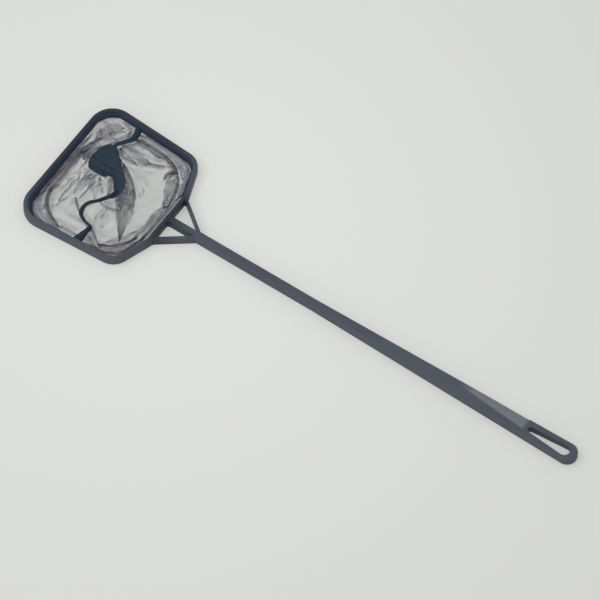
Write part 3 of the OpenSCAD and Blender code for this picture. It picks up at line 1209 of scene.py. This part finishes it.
FRONT_FOLDS: tuple[Fold, ...] = (
    # Band of stacked layers along the far edge, feathered at both ends, which darkens the netting there
    Fold(((4.0, -29.0), (3.9, -16.0), (3.9, 2.0), (4.6, 21.0)), (1.2, 2.4, 2.8, 1.8), 4, 0.7, 11,
         taper=9.0, doubling=1.25),
    Fold(((4.8, -25.0), (5.2, -14.0), (5.3, 0.0), (6.6, 16.6)), (1.6, 3.8, 4.8, 2.8), 4, 0.7, 12,
         taper=9.0, doubling=1.2),
    Fold(((7.2, -20.0), (7.5, -11.0), (7.2, -3.0), (6.9, 5.0), (7.6, 12.0)), (1.6, 3.4, 3.6, 3.4, 3.0),
         3, 0.5, 26, taper=5.0, doubling=1.2),
    Fold(((9.8, 6.4), (8.8, 10.6), (8.6, 16.0), (9.4, 22.4)), (3.6, 3.9, 3.6, 2.6), 4, 0.6, 13,
         taper=2.5, doubling=1.25),
    Fold(((12.0, 5.0), (11.0, 9.2), (11.4, 14.0), (13.6, 19.4)), (2.8, 3.0, 2.6, 1.8), 3, 0.5, 27,
         doubling=1.3),
    Fold(((10.0, 21.6), (13.6, 23.6), (16.6, 26.6)), (2.4, 3.2, 2.0), 2, 0.5, 77, taper=2.0, doubling=1.1),
    # Fold that runs round inside the rim
    Fold(((6.6, -15.0), (7.4, -19.6), (9.0, -24.2), (12.4, -28.2), (17.2, -31.6), (23.4, -33.8)),
         (1.6, 2.6, 2.8, 3.0, 3.0, 2.4), 5, 0.5, 14, doubling=1.3),
    Fold(((8.4, -12.0), (9.4, -18.0), (11.4, -23.2), (15.4, -27.6)), (2.0, 3.4, 3.6, 1.4), 1, 0.5, 68),
    Fold(((4.8, -20.0), (6.0, -27.0), (10.4, -32.0), (18.0, -34.6), (26.0, -35.8)),
         (2.4, 4.2, 4.4, 3.0, 1.6), 2, 0.5, 15, doubling=1.2),
    # Netting drawn up against the rim at the lower far corner and along the left
    Fold(((3.6, -22.0), (4.2, -28.5), (7.2, -33.4), (12.6, -36.2), (20.0, -37.0)),
         (1.6, 2.8, 3.4, 2.6, 1.2), 4, 0.3, 61, doubling=1.4),
    Fold(((14.0, -36.2), (24.0, -36.2), (34.0, -35.6)), (1.4, 1.8, 1.6), 2, 0.4, 62, doubling=1.2),
    Fold(((21.6, -33.6), (27.4, -33.4), (33.4, -32.4)), (2.6, 3.6, 2.6), 2, 0.5, 69, doubling=1.2),
    Fold(((19.0, -29.8), (25.0, -30.6), (31.4, -29.6)), (3.0, 4.0, 3.6), 1, 0.5, 78, doubling=0.8),
    # Streaks on the flat of the panel
    Fold(((14.3, -10.0), (13.9, -15.4), (14.0, -21.0)), (1.0, 1.4, 1.0), 3, 0.5, 17, doubling=1.2),
    Fold(((17.8, 1.6), (17.4, -5.0), (17.8, -13.0)), (2.4, 3.0, 1.8), 2, 0.5, 18, doubling=1.1),
    Fold(((20.2, 2.4), (20.2, -4.0), (19.6, -10.0)), (0.9, 1.0, 0.9), 1, 0.5, 28),
    Fold(((22.6, -1.0), (22.5, -8.0), (21.8, -14.6)), (1.0, 1.2, 1.0), 3, 0.5, 19, doubling=1.2),
    Fold(((12.6, 2.6), (18.0, 1.0), (25.0, -3.6), (28.4, -10.0)), (3.0, 6.0, 6.0, 2.0), 1, 0.4, 20,
         taper=5.0, doubling=0.8),
    Fold(((19.8, -14.4), (22.8, -17.4), (26.0, -20.2)), (0.9, 1.4, 1.9), 4, 0.5, 21, taper=2.5, doubling=1.4),
    Fold(((27.0, 7.0), (30.0, 3.8), (32.0, 0.0), (32.2, -4.2)), (4.4, 5.6, 5.2, 2.6), 3, 0.3, 22,
         doubling=1.1),
    Fold(((22.6, 2.2), (26.2, -0.6), (29.4, -4.6)), (3.0, 5.0, 3.6), 2, 0.5, 29),
    # Folds beside the tape in the upper corner
    Fold(((9.4, 21.4), (11.4, 25.0), (13.6, 28.4), (17.6, 32.4)), (1.4, 2.0, 2.0, 1.4), 3, 0.5, 23,
         doubling=1.2),
    Fold(((16.0, 34.0), (11.4, 30.0), (8.4, 26.0), (7.2, 20.0)), (4.6, 6.6, 5.0, 2.0), 2, 0.5, 24,
         tightest=0.8),
    Fold(((15.4, 22.6), (18.6, 27.6), (20.0, 34.0)), (3.0, 3.6, 3.2), 2, 0.5, 25, doubling=1.1),
    Fold(((13.4, 36.4), (17.4, 35.4), (20.6, 33.4), (20.2, 29.4)), (2.0, 3.2, 3.4, 1.8), 2, 0.5, 30,
         doubling=1.2),
)

FRONT_CRUMPLES: tuple[Crumple, ...] = (
    Crumple((15.5, -7.0), (6.0, 11.0), 90.0, 26, 1),
    Crumple((17.5, -2.0), (3.0, 5.0), 88.0, 6, 7),
    Crumple((16.0, -23.0), (7.0, 6.0), 75.0, 7, 2, length=4.0),
    Crumple((7.0, -29.0), (2.6, 5.0), 60.0, 8, 3, length=4.0),
    Crumple((9.0, 27.0), (4.0, 6.0), -20.0, 9, 4, fan=4.0, length=4.0),
    Crumple((9.0, 14.0), (3.5, 5.0), 80.0, 10, 5, length=4.0),
    Crumple((25.0, 0.0), (5.0, 5.0), 100.0, 8, 6, length=3.6),
)

BACK_FOLDS: tuple[Fold, ...] = (
    # Broad pleat across the middle, with a crisp crease along its lower edge
    Fold(((28.0, 16.0), (35.0, 8.8), (40.6, 0.8), (44.9, -7.4), (49.4, -15.6), (53.4, -23.6)),
         (1.8, 6.2, 8.8, 7.8, 4.0, 0.7), 2, 0.35, 31, crown=0.9, tightest=0.8, doubling=1.35),
    Fold(((25.6, 17.2), (29.6, 14.0), (34.0, 11.6), (38.8, 8.6), (43.0, 4.2), (46.8, -1.6), (48.8, -7.0)),
         (0.8, 1.2, 1.4, 1.6, 1.4, 1.0, 0.8), 3, 0.5, 32, lift=0.7, doubling=1.3),
    Fold(((36.2, 0.0), (39.6, -6.0), (44.0, -12.0), (49.0, -18.0), (52.8, -22.4)), (1.2, 1.4, 1.2, 0.9, 0.6),
         1, 0.5, 33, lift=0.9, taper=3.0, doubling=1.15),
    Fold(((49.0, -4.0), (50.6, -10.6), (51.4, -16.6), (52.8, -22.0)), (0.8, 1.0, 1.1, 0.8), 1, 0.5, 34,
         lift=0.8, taper=3.0, doubling=1.3),
    Fold(((33.0, 9.8), (37.0, 4.4), (39.6, -1.8), (43.0, -7.6)), (3.4, 5.8, 6.6, 4.0), 2, 0.4, 35,
         lift=0.6, doubling=1.35),
    Fold(((40.4, 5.4), (43.8, 0.4), (46.0, -5.6)), (2.4, 4.6, 2.6), 1, 0.5, 79, lift=0.6, doubling=1.1),
    # Netting gathered against the seam and under the pleat, with layers beside the tape that are painted
    # shade
    # Painted shade: a layer of netting laid for the shade under the bend of the tape
    Fold(((33.0, -7.8), (37.0, -8.8), (41.4, -11.0)), (3.4, 4.2, 3.0), 1, 0.5, 70, doubling=1.1),
    Fold(((35.0, -12.0), (38.6, -16.4), (41.6, -22.0)), (7.0, 9.0, 6.0), 1, 0.5, 71, taper=5.0, doubling=0.7),
    Fold(((33.0, 15.6), (39.4, 15.0), (46.0, 12.0)), (3.6, 6.0, 4.0), 1, 0.5, 72, taper=5.0, doubling=0.55),
    # Painted shade: a layer of netting laid for the shade beside the tape's crossing part
    Fold(((29.0, -19.4), (33.0, -21.6), (36.6, -22.4)), (2.2, 3.0, 2.4), 1, 0.5, 80, doubling=1.2),
    # Fold that runs round inside the rim, from the seam round the near side
    Fold(((23.6, 31.6), (31.0, 31.8), (38.0, 31.5), (44.4, 30.8), (49.4, 29.2), (54.2, 26.4)),
         (2.8, 3.6, 3.6, 2.6, 2.4, 2.2), 4, 0.5, 36, doubling=1.25),
    Fold(((24.4, 31.6), (27.4, 30.2), (31.6, 29.4)), (2.6, 3.2, 2.0), 2, 0.5, 73, taper=2.0, doubling=1.2),
    Fold(((34.4, 30.0), (38.0, 29.6), (41.4, 29.8), (45.0, 29.4)), (1.2, 1.9, 1.2, 1.4), 2, 0.5, 82,
         taper=2.0, doubling=1.2),
    Fold(((45.4, 29.6), (49.4, 27.6), (52.8, 25.6), (54.8, 24.0)), (1.6, 2.8, 3.0, 2.0), 2, 0.5, 37,
         lift=0.9, taper=2.5, doubling=1.3),
    Fold(((54.2, 25.8), (57.4, 22.2), (60.0, 16.6), (61.4, 10.4), (62.0, 5.0)), (2.2, 2.1, 1.8, 1.4, 0.8),
         5, 0.5, 38, doubling=1.25),
    Fold(((54.0, 26.4), (51.6, 25.2), (50.5, 22.8), (50.3, 19.8)), (2.2, 2.8, 2.8, 1.6), 5, 0.5, 39,
         taper=2.0, doubling=1.4),
    Fold(((53.2, 26.6), (52.6, 23.4), (52.6, 18.4)), (2.0, 2.6, 1.8), 2, 0.5, 74, taper=2.0, doubling=1.2),
    Fold(((53.9, 15.6), (54.4, 14.4), (54.8, 13.2)), (0.8, 1.0, 0.8), 2, 0.5, 52, taper=1.5, doubling=1.3),
    Fold(((54.6, 23.4), (56.5, 17.4), (58.7, 12.0), (60.1, 5.4)), (4.8, 6.0, 4.6, 3.6), 2, 0.5, 40,
         tightest=0.8, doubling=1.15),
    Fold(((61.4, 9.0), (60.6, 4.0), (60.4, -2.0), (60.6, -8.0), (59.6, -13.8), (58.0, -18.0)),
         (1.6, 4.6, 5.0, 5.0, 6.0, 2.2), 2, 0.6, 41, taper=5.0, tightest=0.6, doubling=1.1),
    Fold(((24.6, 34.9), (36.0, 34.9), (46.0, 33.8), (53.4, 30.6), (58.6, 25.0)), (2.6, 3.4, 4.6, 5.2, 4.0),
         2, 0.5, 42, doubling=1.25),
    # Netting drawn up against the rim on the right, the near side and the near corners
    Fold(((26.0, 36.4), (38.0, 35.6), (50.0, 34.8), (57.4, 31.0), (60.8, 24.0), (63.0, 14.0)),
         (0.8, 1.2, 1.4, 1.4, 3.4, 2.6), 4, 0.7, 63, doubling=1.3),
    Fold(((63.2, 18.0), (63.2, 6.0), (63.0, -6.0), (62.4, -18.0)), (1.6, 2.0, 2.4, 2.2), 3, 0.7, 67,
         doubling=1.3),
    Fold(((62.6, -12.0), (61.4, -22.0), (57.6, -30.4), (50.0, -34.6), (40.0, -35.6)),
         (1.4, 2.2, 3.2, 2.6, 1.4), 4, 0.3, 64, doubling=1.3),
    # Fold round the lower near corner
    Fold(((59.6, -16.4), (58.6, -20.4), (56.6, -24.0), (53.4, -27.6), (49.8, -30.0), (45.6, -31.6)),
         (1.0, 2.2, 2.8, 2.8, 1.8, 1.2), 6, 0.5, 43, taper=3.0, doubling=1.5),
    Fold(((56.6, -13.4), (55.8, -19.6), (52.4, -24.2), (48.0, -28.0)), (2.6, 3.6, 4.2, 2.6), 2, 0.5, 65,
         doubling=1.1),
    Fold(((61.4, -18.0), (59.4, -25.0), (54.0, -30.6), (46.0, -34.0), (38.0, -35.2)),
         (2.4, 3.6, 3.4, 3.0, 2.0), 2, 0.5, 44, doubling=1.2),
    # Fans from the tape's ends
    Fold(((37.8, -25.6), (40.4, -27.8), (44.6, -30.4), (47.4, -31.8)), (2.8, 2.8, 1.6, 1.0), 3, 0.5, 45,
         taper=2.0, doubling=1.3),
    Fold(((38.0, -29.4), (42.0, -31.8), (46.6, -33.2)), (4.0, 4.4, 2.4), 2, 0.5, 46),
    Fold(((26.0, 19.0), (32.0, 20.6), (38.0, 22.4), (43.6, 25.0), (48.4, 28.0)), (4.4, 5.0, 3.8, 2.0, 1.0),
         1, 0.65, 47),
    Fold(((20.8, 22.4), (25.6, 20.6), (30.4, 19.4), (34.0, 19.4)), (3.0, 4.2, 3.4, 1.6), 2, 0.5, 66,
         taper=2.5, doubling=1.15),
    Fold(((21.0, 23.0), (23.0, 20.8), (25.8, 18.4)), (1.4, 2.4, 1.6), 3, 0.5, 81, taper=2.0, doubling=1.3),
    Fold(((20.4, 25.4), (26.4, 24.2), (33.0, 23.8), (39.0, 24.0)), (3.4, 4.6, 3.6, 1.4), 2, 0.5, 75,
         taper=2.5, doubling=1.1),
    Fold(((21.2, 22.0), (23.2, 25.0), (25.6, 28.2), (27.4, 31.6)), (2.0, 2.8, 3.2, 3.0), 2, 0.5, 76,
         taper=2.0, doubling=1.2),
    Fold(((33.0, 21.0), (39.6, 23.2), (46.0, 26.4)), (0.8, 1.0, 0.9), 2, 0.5, 48, lift=0.5, doubling=1.1),
    Fold(((25.4, 24.4), (30.0, 25.6), (35.0, 26.4)), (1.2, 1.6, 1.2), 2, 0.5, 51),
    Fold(((31.0, -9.6), (35.4, -10.8), (39.4, -10.2), (43.4, -8.0)), (0.9, 1.0, 1.0, 1.2), 3, 0.5, 49,
         taper=2.5, doubling=1.2),
    Fold(((34.6, -17.0), (37.6, -22.6)), (1.2, 1.2), 1, 0.5, 50, taper=2.5),
)

BACK_CRUMPLES: tuple[Crumple, ...] = (
    Crumple((59.4, 8.0), (1.8, 8.0), 100.0, 6, 11, length=4.0),
    Crumple((59.4, -9.0), (2.2, 9.0), 82.0, 12, 12, length=4.0),
    Crumple((44.0, -2.0), (3.0, 10.0), -62.0, 8, 13, length=4.0),
    Crumple((34.0, 30.0), (10.0, 4.0), 10.0, 18, 14, length=4.0),
    Crumple((43.0, -31.0), (6.0, 3.0), -40.0, 8, 15, length=4.0),
    Crumple((36.0, 22.0), (8.0, 3.5), 22.0, 10, 16, length=4.4),
    Crumple((36.0, -13.0), (3.0, 4.0), -60.0, 3, 17, length=4.0),
)


def ribbon(line: np.ndarray, lean: np.ndarray, section: np.ndarray) -> tuple[np.ndarray, np.ndarray]:
    """Sweeps a section along a line that lies over the ground.

    Args:
        line: Places of the line in the frame, with heights.
        lean: Angle of the section from lying flat at each place, in radians.
        section: Outline of the section: across the ribbon and through it, anticlockwise.

    Returns:
        Vertices ring by ring, and a UV pair in millimetres for each: along and round the ribbon.
    """
    heading = unit(np.gradient(line, axis=0))
    upright = unit(np.array([0.0, 0.0, 1.0]) - heading * heading[:, 2:3])
    side = np.cross(upright, heading)
    across = side * np.cos(lean)[:, None] + upright * np.sin(lean)[:, None]
    through = np.cross(heading, across)
    rings = line[:, None] + across[:, None] * section[None, :, :1] + through[:, None] * section[None, :, 1:2]
    uv = np.stack(np.meshgrid(run_along(line), run_along(section), indexing="ij"), axis=-1)
    return rings.reshape(-1, 3), uv.reshape(-1, 2)


def resized(points: np.ndarray, line: np.ndarray, scale: np.ndarray) -> np.ndarray:
    """Widens or narrows a ribbon about its line.

    Args:
        points: The ribbon's vertices, ring by ring.
        line: Places of the line.
        scale: Scale of each ring.

    Returns:
        The new vertices, ring by ring.
    """
    rings = points.reshape(len(line), -1, 3)
    return (line[:, None] + (rings - line[:, None]) * scale[:, None, None]).reshape(-1, 3)


def uv_piece(name: str, points: np.ndarray, faces: Faces, uv: np.ndarray) -> bpy.types.Object:
    """Makes a mesh piece with a UV map for its weave.

    Args:
        name: Name of the piece.
        points: Places of the vertices in millimetres, one row each.
        faces: Vertex numbers of each face.
        uv: UV pair of each vertex, in millimetres.

    Returns:
        The piece.
    """
    piece = mesh_piece(name, points, faces)
    layer = piece.data.uv_layers.new(name="weave")
    corners = np.zeros(len(piece.data.loops), int)
    piece.data.loops.foreach_get("vertex_index", corners)
    layer.data.foreach_set("uv", uv[corners].ravel())
    return piece


def binding_section(
    width: float, thickness: float, ply: float, belly: float = 1.04, slit_end: Span = (0.2, 0.6),
) -> np.ndarray:
    """Draws the section of a folded binding: two plies that meet in a round fold, open on the other side.

    Args:
        width: Width of the folded binding.
        thickness: Thickness over both plies.
        ply: Thickness of one ply.
        belly: How far the middle bulges, as a share of the thickness.
        slit_end: Where the slit between the plies ends, as a share of the half width, and how open it is
            there, as a share of its mouth.

    Returns:
        Outline, anticlockwise: across the binding and through it.
    """
    half, deep = width / 2, thickness / 2
    mouth = deep - ply
    end, gap = half * slit_end[0], mouth * slit_end[1]
    bend = np.linspace(-math.pi / 2, math.pi / 2, 7)
    return np.array([
        (-half, -deep), (0.0, -deep * belly),
        *((half - deep + deep * math.cos(angle), deep * math.sin(angle)) for angle in bend),
        (0.0, deep * belly), (-half, deep), (-half, mouth), (end, gap), (end, -gap), (-half, -mouth),
    ])


@dataclass
class SeamTape:
    """The binding tape on the bag's seam, from the left of the hoop to the right.

    Leans are its angles from lying flat, in degrees, and spreads scale its section. Its ends climb to the
    hem, and all along it sways a little up and down.
    """

    outline: HoopOutline
    finishes: Finishes
    width: float = 2.7
    thickness: float = 0.7
    ply: float = 0.26
    ground: float = 0.45
    stations: int = 260
    climb: float = 1.5
    climb_share: float = 0.05
    sway: float = 0.25
    sway_run: float = 60.0
    sway_length: float = 9.0
    seed: int = 51
    leans: tuple[Mark, ...] = (
        (0.0, 12.0), (0.07, 40.0), (0.16, 56.0), (0.28, 50.0), (0.36, 68.0), (0.44, 66.0), (0.55, 10.0),
        (0.84, 12.0), (0.93, 34.0), (1.0, 26.0),
    )
    spreads: tuple[Mark, ...] = (
        (0.0, 1.9), (0.05, 1.5), (0.1, 0.95), (0.17, 1.15), (0.24, 1.05), (0.29, 0.76), (0.37, 0.66),
        (0.43, 0.85), (0.52, 0.8), (0.8, 0.76), (0.88, 0.82), (0.92, 1.1), (1.0, 1.5),
    )

    def along(self, marks: tuple[Mark, ...]) -> np.ndarray:
        """Returns the values between the marks, at each station of the tape."""
        return np.interp(np.linspace(0, 1, self.stations), *zip(*marks))

    def line(self) -> np.ndarray:
        """Lays the tape's middle line on the seam, with its ends up at the hem.

        Returns:
            Places in the frame, with heights.
        """
        share = np.linspace(0, 1, self.stations)
        lean = np.radians(self.along(self.leans))
        rise = eased(1 - np.minimum(share, 1 - share) / self.climb_share) * self.climb
        height = self.ground + self.width / 2 * np.sin(lean) + self.thickness / 2 * np.cos(lean) + rise
        height += self.sway * (1 + waves(share * self.sway_run, share * 0, self.sway_length, self.seed))
        return np.column_stack([self.outline.place(smooth_route(SEAM_ROUTE, self.stations)), height])

    def build(self) -> bpy.types.Object:
        """Builds the tape and stands it for its node.

        Returns:
            The piece.
        """
        line = self.line()
        section = binding_section(self.width, self.thickness, self.ply)
        points, uv = ribbon(line, np.radians(self.along(self.leans)), section)
        points = resized(points, line, self.along(self.spreads))
        piece = uv_piece("seam_binding", points, tube_faces(len(line), len(section)), uv)
        dress(piece, self.finishes.binding)
        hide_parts("seam_tape")
        LOG.info("%s is %.0f mm long", piece.name, line_length(line))
        return piece


@dataclass(frozen=True)
class Lap:
    """One pass of folded binding: its places in the hoop, heights, leans in radians and widths."""

    places: np.ndarray
    heights: np.ndarray
    leans: np.ndarray
    widths: np.ndarray


@dataclass
class Bunch:
    """The spare length of the binding, folded to and fro into a bunch, with the band that trails from it.

    The laps lie side by side across the border. Their middles sway, their ends turn in by the round-off
    and end blunt, each second one lies a step higher, and the bunch is highest in its middle.
    """

    outline: HoopOutline
    finishes: Finishes
    width: float = 4.4
    thickness: float = 0.6
    ply: float = 0.2
    base: float = 1.0
    crown: float = 2.0
    lap_count: int = 10
    lap_points: int = 36
    lap_step: float = 0.3
    lap_sway: float = 0.5
    sway_turn: float = 2.4
    sway_back: float = 0.4
    round_off: float = 1.0
    dome_margin: float = 1.2
    arch_foot: float = 0.45
    arch_bend: float = 0.7
    lap_lean: float = 9.0
    lean_turn: float = 2.1
    lean_start: float = 0.7
    twist: float = 0.10
    twist_turn: float = 5.0
    blunt: float = 0.02
    border_margin: float = 0.5
    border_points: int = 400
    border: tuple[Place, ...] = (
        (16.8, 21.8), (20.6, 20.0), (24.6, 16.6), (28.2, 13.0), (30.0, 10.2), (28.8, 7.6), (26.2, 5.6),
        (23.4, 3.8), (20.2, 2.7), (16.8, 3.4), (13.4, 6.0), (12.2, 10.0), (12.8, 14.4), (14.4, 18.6),
    )
    tail_points: int = 70
    tail_top: float = 2.9
    tail_fall: float = 1.7
    tail_pace: float = 1.3
    tail_leans: Span = (4.0, 28.0)
    tail: tuple[Place, ...] = (
        (24.2, 12.2), (29.2, 9.0), (33.0, 5.2), (35.2, 1.6), (35.7, -2.2), (34.4, -5.4),
    )
    tail_widths: tuple[float, ...] = (4.4, 6.0, 6.4, 5.8, 4.2, 2.0)

    def reach(self, y: float) -> tuple[float, float]:
        """Finds where a lap starts and ends.

        Args:
            y: The lap's distance from the centre line.

        Returns:
            Its least and its greatest distance from the far edge.
        """
        closed = smooth_route((*self.border, self.border[0]), self.border_points)
        near = closed[np.abs(closed[:, 1] - y) < self.border_margin]
        return float(near[:, 0].min()), float(near[:, 0].max())

    def lap(self, k: int) -> Lap:
        """Lays one pass of the bunch.

        Args:
            k: Which pass, from the right of the hoop to the left.

        Returns:
            The lap.
        """
        high, low = max(y for _, y in self.border), min(y for _, y in self.border)
        y = high - self.width / 2 - (high - low - self.width) * k / (self.lap_count - 1)
        start, end = self.reach(y)
        share = np.linspace(0, 1, self.lap_points)
        middle = (self.lap_count - 1) / 2
        sway = self.lap_sway * math.sin(self.sway_turn * k)
        turn_in = self.round_off * (k - middle) / middle - sway * self.sway_back
        route = ((start, y + turn_in), ((start + end) / 2, y + sway), (end, y + turn_in))
        dome = 1 - ((k - middle) / (middle + self.dome_margin)) ** 2
        arch = self.arch_foot + (1 - self.arch_foot) * np.sin(math.pi * share) ** self.arch_bend
        heights = self.base + self.lap_step * (k % 2) + self.crown * dome * arch
        lean = np.radians(self.lap_lean * math.sin(self.lean_turn * k + self.lean_start))
        leans = lean + self.twist * np.sin(self.twist_turn * share + k)
        widths = np.full(self.lap_points, self.width)
        return Lap(smooth_route(route, self.lap_points), heights, leans, widths)

    def tail_lap(self) -> Lap:
        """Lays the band that trails from the bunch to the seam.

        Returns:
            The band, as a lap.
        """
        share = np.linspace(0, 1, self.tail_points)
        widths = np.interp(share, np.linspace(0, 1, len(self.tail_widths)), self.tail_widths)
        heights = self.tail_top - self.tail_fall * eased(share * self.tail_pace)
        flat, steep = self.tail_leans
        leans = np.radians(flat + (steep - flat) * share)
        return Lap(smooth_route(self.tail, self.tail_points), heights, leans, widths)

    def build(self) -> bpy.types.Object:
        """Builds the bunch and stands it for its node.

        Returns:
            The piece.
        """
        section = binding_section(self.width, self.thickness, self.ply)
        points, uvs, faces, offset = [], [], [], 0
        for lap in [*(self.lap(k) for k in range(self.lap_count)), self.tail_lap()]:
            line = np.column_stack([self.outline.place(lap.places), lap.heights])
            made, uv = ribbon(line, lap.leans, section)
            run = run_along(line)
            near_end = np.clip(np.minimum(run, run[-1] - run) / (lap.widths / 2), 0, 1)
            scale = np.sqrt(np.clip(1 - (1 - near_end) ** 2, self.blunt, 1)) * lap.widths / self.width
            points.append(resized(made, line, scale))
            uvs.append(uv)
            faces += tube_faces(len(line), len(section), offset)
            offset += len(made)
        piece = uv_piece("binding_bunch", np.vstack(points), faces, np.vstack(uvs))
        dress(piece, self.finishes.binding)
        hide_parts("tape_gather")
        return piece


@dataclass
class Hem:
    """The doubled top edge of the bag, which the rim holds all round.

    Slack is how far its lower edge swings inwards near places in the hoop. Its section bulges a little near
    its lower edge, in its middle and near its upper edge.
    """

    outline: HoopOutline
    finishes: Finishes
    low: float = 0.7
    high: float = 4.7
    thickness: float = 0.55
    stations: int = 360
    wave: float = 0.12
    wave_length: float = 8.0
    wave_inwards: float = 0.5
    seed: int = 61
    bulges: Triple = (0.08, 0.02, 0.1)
    bulge_height: float = 0.5
    droop_bend: float = 1.5
    slack: tuple[tuple[Place, float], ...] = (
        ((3.0, 0.0), 0.3), ((3.0, 22.0), 0.6), ((8.0, 34.0), 0.0), ((24.0, 37.0), 0.2),
        ((42.0, 36.0), 0.3), ((55.0, 33.0), 0.9), ((61.0, 24.0), 1.7), ((64.0, 12.0), 1.5),
        ((64.5, 0.0), 1.5), ((64.0, -12.0), 1.6), ((60.0, -26.0), 1.4), ((54.0, -33.0), 1.5),
        ((42.0, -36.0), 0.5), ((20.0, -37.0), 0.3), ((7.0, -33.0), 1.9), ((3.2, -26.0), 0.9),
    )

    def profile(self) -> list[Place]:
        """Draws the hem's section, with a soft bulge over each of its two edges.

        Returns:
            Inset from the hoop's wall and height of each corner, from the lower inner edge upwards.
        """
        lower, middle, upper = self.bulges
        return [
            (0.0, self.low), (lower, self.low + self.bulge_height), (middle, (self.low + self.high) / 2),
            (upper, self.high - self.bulge_height), (0.0, self.high), (-self.thickness, self.high),
            (-self.thickness, self.low),
        ]

    def hang(self, ring: np.ndarray) -> np.ndarray:
        """Works out how far the hem's lower edge swings inwards.

        Args:
            ring: Places of the inner edge, all round.

        Returns:
            Distance for each place.
        """
        nearest = [int(np.argmin(np.linalg.norm(ring - np.array(place), axis=1))) for place, _ in self.slack]
        order = np.argsort(nearest)
        marks = np.array(nearest)[order]
        amounts = np.array([amount for _, amount in self.slack])[order]
        return np.interp(np.arange(len(ring)), marks, amounts, period=len(ring))

    def build(self) -> bpy.types.Object:
        """Builds the hem and stands it for its node.

        Returns:
            The piece.
        """
        ring = self.outline.ring(self.stations + 1)[:-1]
        inwards = left_of(unit(np.roll(ring, -1, axis=0) - np.roll(ring, 1, axis=0)))
        run = np.linspace(0, line_length(np.vstack([ring, ring[:1]])), self.stations, endpoint=False)
        wave = self.wave * waves(run, run * 0, self.wave_length, self.seed)
        hang, profile, rings = self.hang(ring), self.profile(), []
        for inset, height in profile:
            droop = hang * (1 - (height - self.low) / (self.high - self.low)) ** self.droop_bend
            inset = inset + self.wave_inwards * wave * (inset >= 0) + droop
            spots = self.outline.place(ring + inwards * inset[:, None])
            rings.append(np.column_stack([spots, height + wave]))
        points = np.stack(rings, axis=1)
        uv = np.stack(np.meshgrid(run, run_along(np.array(profile)), indexing="ij"), axis=-1).reshape(-1, 2)
        faces = [tuple(reversed(face)) for face in tube_faces(self.stations, len(profile), 0, closed=True)]
        piece = uv_piece("hem_band", points.reshape(-1, 3), faces, uv)
        dress(piece, self.finishes.hem)
        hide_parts("bag_hem")
        return piece


@dataclass
class Bag:
    """The whole bag: hem, two panels, seam tape and bunch."""

    outline: HoopOutline
    finishes: Finishes
    flat_width: float = 78.0

    def build(self) -> list[bpy.types.Object]:
        """Builds the bag.

        Returns:
            The pieces.
        """
        hem = Hem(self.outline, self.finishes).build()
        tape = SeamTape(self.outline, self.finishes).build()
        bunch = Bunch(self.outline, self.finishes).build()
        front = Panel(
            name="front_netting", node="front_panel", wall_side=1, corners=((6.0, -34.0), (6.0, 34.0)),
            folds=FRONT_FOLDS, crumples=FRONT_CRUMPLES, outline=self.outline, finishes=self.finishes,
        )
        back = Panel(
            name="back_netting", node="back_panel", wall_side=-1, corners=((57.0, -32.0), (57.0, 32.0)),
            folds=BACK_FOLDS, crumples=BACK_CRUMPLES, outline=self.outline, finishes=self.finishes, seed=7,
        )
        pieces = [hem, tape, bunch]
        for panel, sewn_on in ((front, [hem, tape, bunch]), (back, [])):
            piece = panel.build()
            pieces.append(piece)
        return pieces


def main() -> None:
    """Builds the studio and each part of the net, in order, and reports the pieces."""
    logging.basicConfig(level=logging.INFO, format="%(message)s")
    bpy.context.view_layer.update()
    Studio().build()
    finishes = Finishes()
    outline = HoopOutline()
    for part in (Moulding(finishes), Bag(outline, finishes)):
        for piece in part.build():
            LOG.info("%s: %d faces", piece.name, len(piece.data.polygons))
    deselect_all()


if __name__ == "__main__":
    main()
